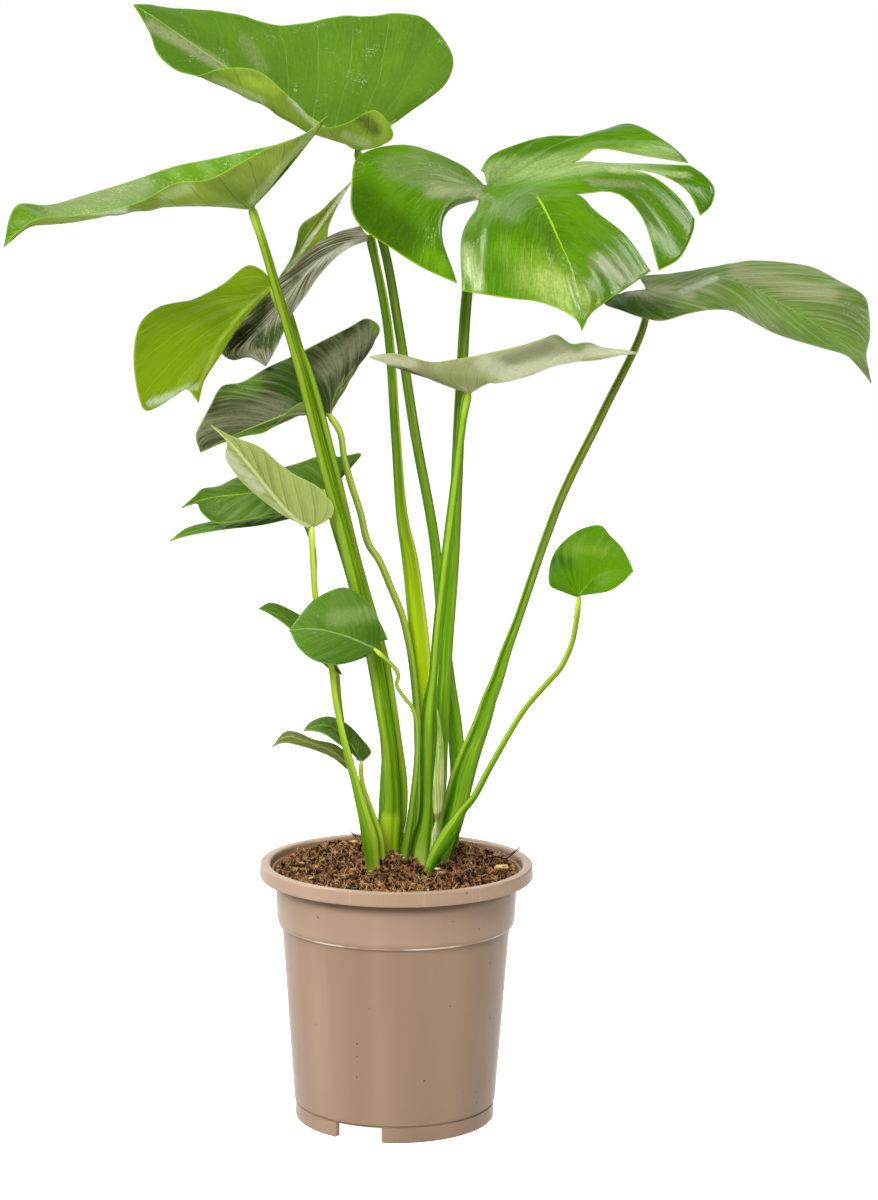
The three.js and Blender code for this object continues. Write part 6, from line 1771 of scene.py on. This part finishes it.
def open_ground():
    """The top of the soil without its rim and walls."""
    points = []
    for ring in range(OPEN_RINGS + 1):
        for k in range(OPEN_ROUND):
            x, y = on_circle(OPEN_RADIUS * ring / OPEN_RINGS, k, OPEN_ROUND)
            points.append(POT_AXIS + MM * np.array([x, y, soil_height(x, y) + crumbs(x, y)]))
    return smooth_mesh("open_ground", points, ring_faces(OPEN_RINGS + 1, OPEN_ROUND, turned=True))


ground = open_ground()


# %% Shapes to scatter
def crumb_shape(tree):
    ball = new_node(tree, "GeometryNodeMeshIcoSphere", {"Radius": 1.0 * MM, "Subdivisions": 1})
    return ball.outputs["Mesh"]


def fibre_shape(tree):
    bow = new_node(tree, "GeometryNodeCurveQuadraticBezier",
                   {"Resolution": 9, "Start": (-5 * MM, 0, 0), "Middle": (0, 3 * MM, 1.5 * MM),
                    "End": (5 * MM, 0, 0.5 * MM)})
    ring = new_node(tree, "GeometryNodeCurvePrimitiveCircle", {"Resolution": 3, "Radius": 0.15 * MM})
    strand = new_node(tree, "GeometryNodeCurveToMesh",
                      {"Curve": bow.outputs[0], "Profile Curve": ring.outputs[0], "Fill Caps": True})
    return strand.outputs[0]


def flake_shape(tree):
    slab = new_node(tree, "GeometryNodeMeshCube",
                    {"Size": (3.2 * MM, 1.9 * MM, 0.7 * MM), "Vertices X": 4, "Vertices Y": 3,
                     "Vertices Z": 2})
    return slab.outputs["Mesh"]


crumb_tree = scatter_tree("crumbs", crumb_shape)
fibre_tree = scatter_tree("fibres", fibre_shape)
flake_tree = scatter_tree("flakes", flake_shape)

# %% Scatter them
coir = earth_material("coir_fibre", (132, 86, 48), (222, 174, 116), (240, 206, 154))
pale_coir = earth_material("dry_fibre", (206, 166, 112), (240, 208, 154), (250, 232, 190))
bark = earth_material("bark", (70, 42, 26), (150, 104, 68), (196, 156, 110))
dark_crumb = earth_material("dark_crumb", (12, 7, 4), (66, 41, 25), (130, 94, 60))
white_grain = earth_material("perlite", (214, 206, 194), (240, 236, 228), (250, 250, 246))
LOOSE = [
    ("peat_crumbs", crumb_tree, peat, 3, (70000.0, 0.3, 1.5, 0.0042, 600.0, 0.0)),
    ("dark_crumbs", crumb_tree, dark_crumb, 4, (84000.0, 0.5, 2.2, 0.0046, 600.0, 0.0)),
    ("coir_fibres", fibre_tree, coir, 5, (76000.0, 0.25, 1.1, 0.006, 260.0, 0.0009)),
    ("dry_fibres", fibre_tree, pale_coir, 8, (32000.0, 0.25, 1.2, 0.006, 240.0, 0.0014)),
    ("bark_flakes", flake_tree, bark, 13, (16000.0, 0.4, 1.9, 0.002, 420.0, 0.0004)),
    ("perlite_grains", crumb_tree, white_grain, 21, (260.0, 0.4, 1.0, 0.0016, 600.0, 0.0006)),
]
for name, tree, material, seed, values in LOOSE:
    mesh = scattered(name, ground, tree, material, seed, values)
    if name == "perlite_grains":
        mesh.shade_flat()
    place(mesh, "soil")
    print(name, len(mesh.polygons), "faces")

# %% [markdown]
# ## Chips and twigs
# A few larger bits can be told apart: cream wood chips, a knot of pinkish grains between the stalks, and
# dark twigs that reach over the rim. A chip is a ball pressed flat and roughened with noise. A twig is a
# thin tube along a curve. Their places are in millimetres from the pot's axis, right, behind and up.

# %% Chips
CHIPS = [
    ((73, -15, 180), (5.4, 3.6, 1.8), 0.4, (236, 206, 132)),
    ((31, -30, 179), (3.6, 3.0, 1.6), 1.0, (186, 140, 108)),
    ((28, -28, 181.5), (2.2, 0.9, 0.8), 0.1, (232, 222, 200)),
    ((-31, 58, 181), (2.8, 1.8, 0.9), 0.2, (214, 184, 122)),
    ((0, -4, 186), (1.5, 1.2, 1.1), 0.3, (228, 178, 146)),
    ((3, -5, 185.5), (1.1, 1.0, 1.0), 1.3, (236, 196, 166)),
    ((-3, -6, 185), (1.2, 0.9, 0.9), 2.1, (222, 172, 140)),
    ((5, -8, 184.5), (1.0, 0.8, 0.8), 0.8, (238, 206, 178)),
    ((-66, 6, 177), (3.2, 1.4, 0.8), 2.4, (196, 160, 104)),
    ((62, -40, 177), (3.6, 2.0, 1.0), 2.9, (150, 96, 66)),
    ((-58, -34, 176), (3.0, 1.2, 0.7), 0.9, (204, 172, 116)),
    ((52, 30, 179), (3.0, 1.3, 0.8), 0.5, (190, 150, 100)),
]
CHIP_FINENESS = 3
CHIP_ROUGHNESS = 0.35


def chip_mesh(number, middle, halves, turn):
    """A ball with a rough skin, pressed to its three half-sizes and turned."""
    shape = bmesh.new()
    bmesh.ops.create_icosphere(shape, subdivisions=CHIP_FINENESS, radius=1.0)
    for v in shape.verts:
        v.co *= 1 + CHIP_ROUGHNESS * noise.noise(1.6 * v.co + Vector((0, 0, 5 * number)))
        v.co = Vector([part * half for part, half in zip(v.co, halves)])
    bmesh.ops.rotate(shape, verts=shape.verts[:], matrix=Matrix.Rotation(turn, 3, "Z"))
    for v in shape.verts:
        v.co = Vector(POT_AXIS + MM * (np.array(middle) + np.array(v.co)))
    mesh = bpy.data.meshes.new(f"chip_{number}")
    shape.to_mesh(mesh)
    shape.free()
    return mesh


for number, (middle, halves, turn, paint) in enumerate(CHIPS):
    mesh = chip_mesh(number, middle, halves, turn)
    darker, lighter = ([min(int(v * factor), 255) for v in paint] for factor in (0.7, 1.12))
    mesh.materials.append(earth_material(f"chip_finish_{number}", darker, paint, lighter))
    place(mesh, "soil")

# %% Twigs
TWIGS = [
    ([(-24, 60, 175), (-28, 74, 178), (-31, 84, 180), (-34, 88, 182)], 0.8),
    ([(-31, 84, 180), (-26, 83, 179), (-21, 80, 176)], 0.6),
    ([(60, 14, 178), (70, 8, 182), (76, 2, 182), (82, 4, 186), (86, 1, 191)], 0.8),
    ([(60, 20, 177), (70, 12, 181), (78, 14, 182), (85, 10, 187)], 0.6),
    ([(66, 0, 178), (74, -8, 182), (80, -6, 181), (87, -11, 184)], 0.6),
    ([(-8, -20, 178), (6, -34, 182), (18, -52, 177)], 0.6),
    ([(-20, -30, 177), (-6, -44, 181), (2, -62, 176)], 0.7),
    ([(10, -14, 181), (16, -26, 184), (26, -30, 179)], 0.5),
    ([(36, -6, 179), (46, -20, 182), (60, -22, 178)], 0.6),
]
TWIG_ROUND = 7
TWIG_STEPS = 24
TWIG_TAPER = 0.6
TWIG_SWELL = 0.3


def twig_mesh(number, line, radius):
    """A tube that thins towards its end and swells a little here and there."""
    line = smooth_line([POT_AXIS + MM * np.array(p) for p in line])
    centres = along_line(line, np.linspace(0, 1, TWIG_STEPS))
    points = []
    for i, (centre, way) in enumerate(zip(centres, np.gradient(centres, axis=0))):
        upright = Vector(way).to_track_quat("Z", "Y")
        swell = 1 + TWIG_SWELL * noise.noise(Vector((i * 0.7, number, 0)))
        thin = radius * MM * (1 - TWIG_TAPER * i / TWIG_STEPS) * swell
        for k in range(TWIG_ROUND):
            points.append(centre + np.array(upright @ Vector((*on_circle(thin, k, TWIG_ROUND), 0))))
    last = (TWIG_STEPS - 1) * TWIG_ROUND
    faces = ring_faces(TWIG_STEPS, TWIG_ROUND)
    faces += [tuple(range(TWIG_ROUND))[::-1], tuple(last + k for k in range(TWIG_ROUND))]
    return smooth_mesh(f"twig_{number}", points, faces)


for number, (line, radius) in enumerate(TWIGS):
    mesh = twig_mesh(number, line, radius)
    mesh.materials.append(dark_crumb if number < 3 else bark)
    place(mesh, "soil")
print("chips", len(CHIPS), "twigs", len(TWIGS))
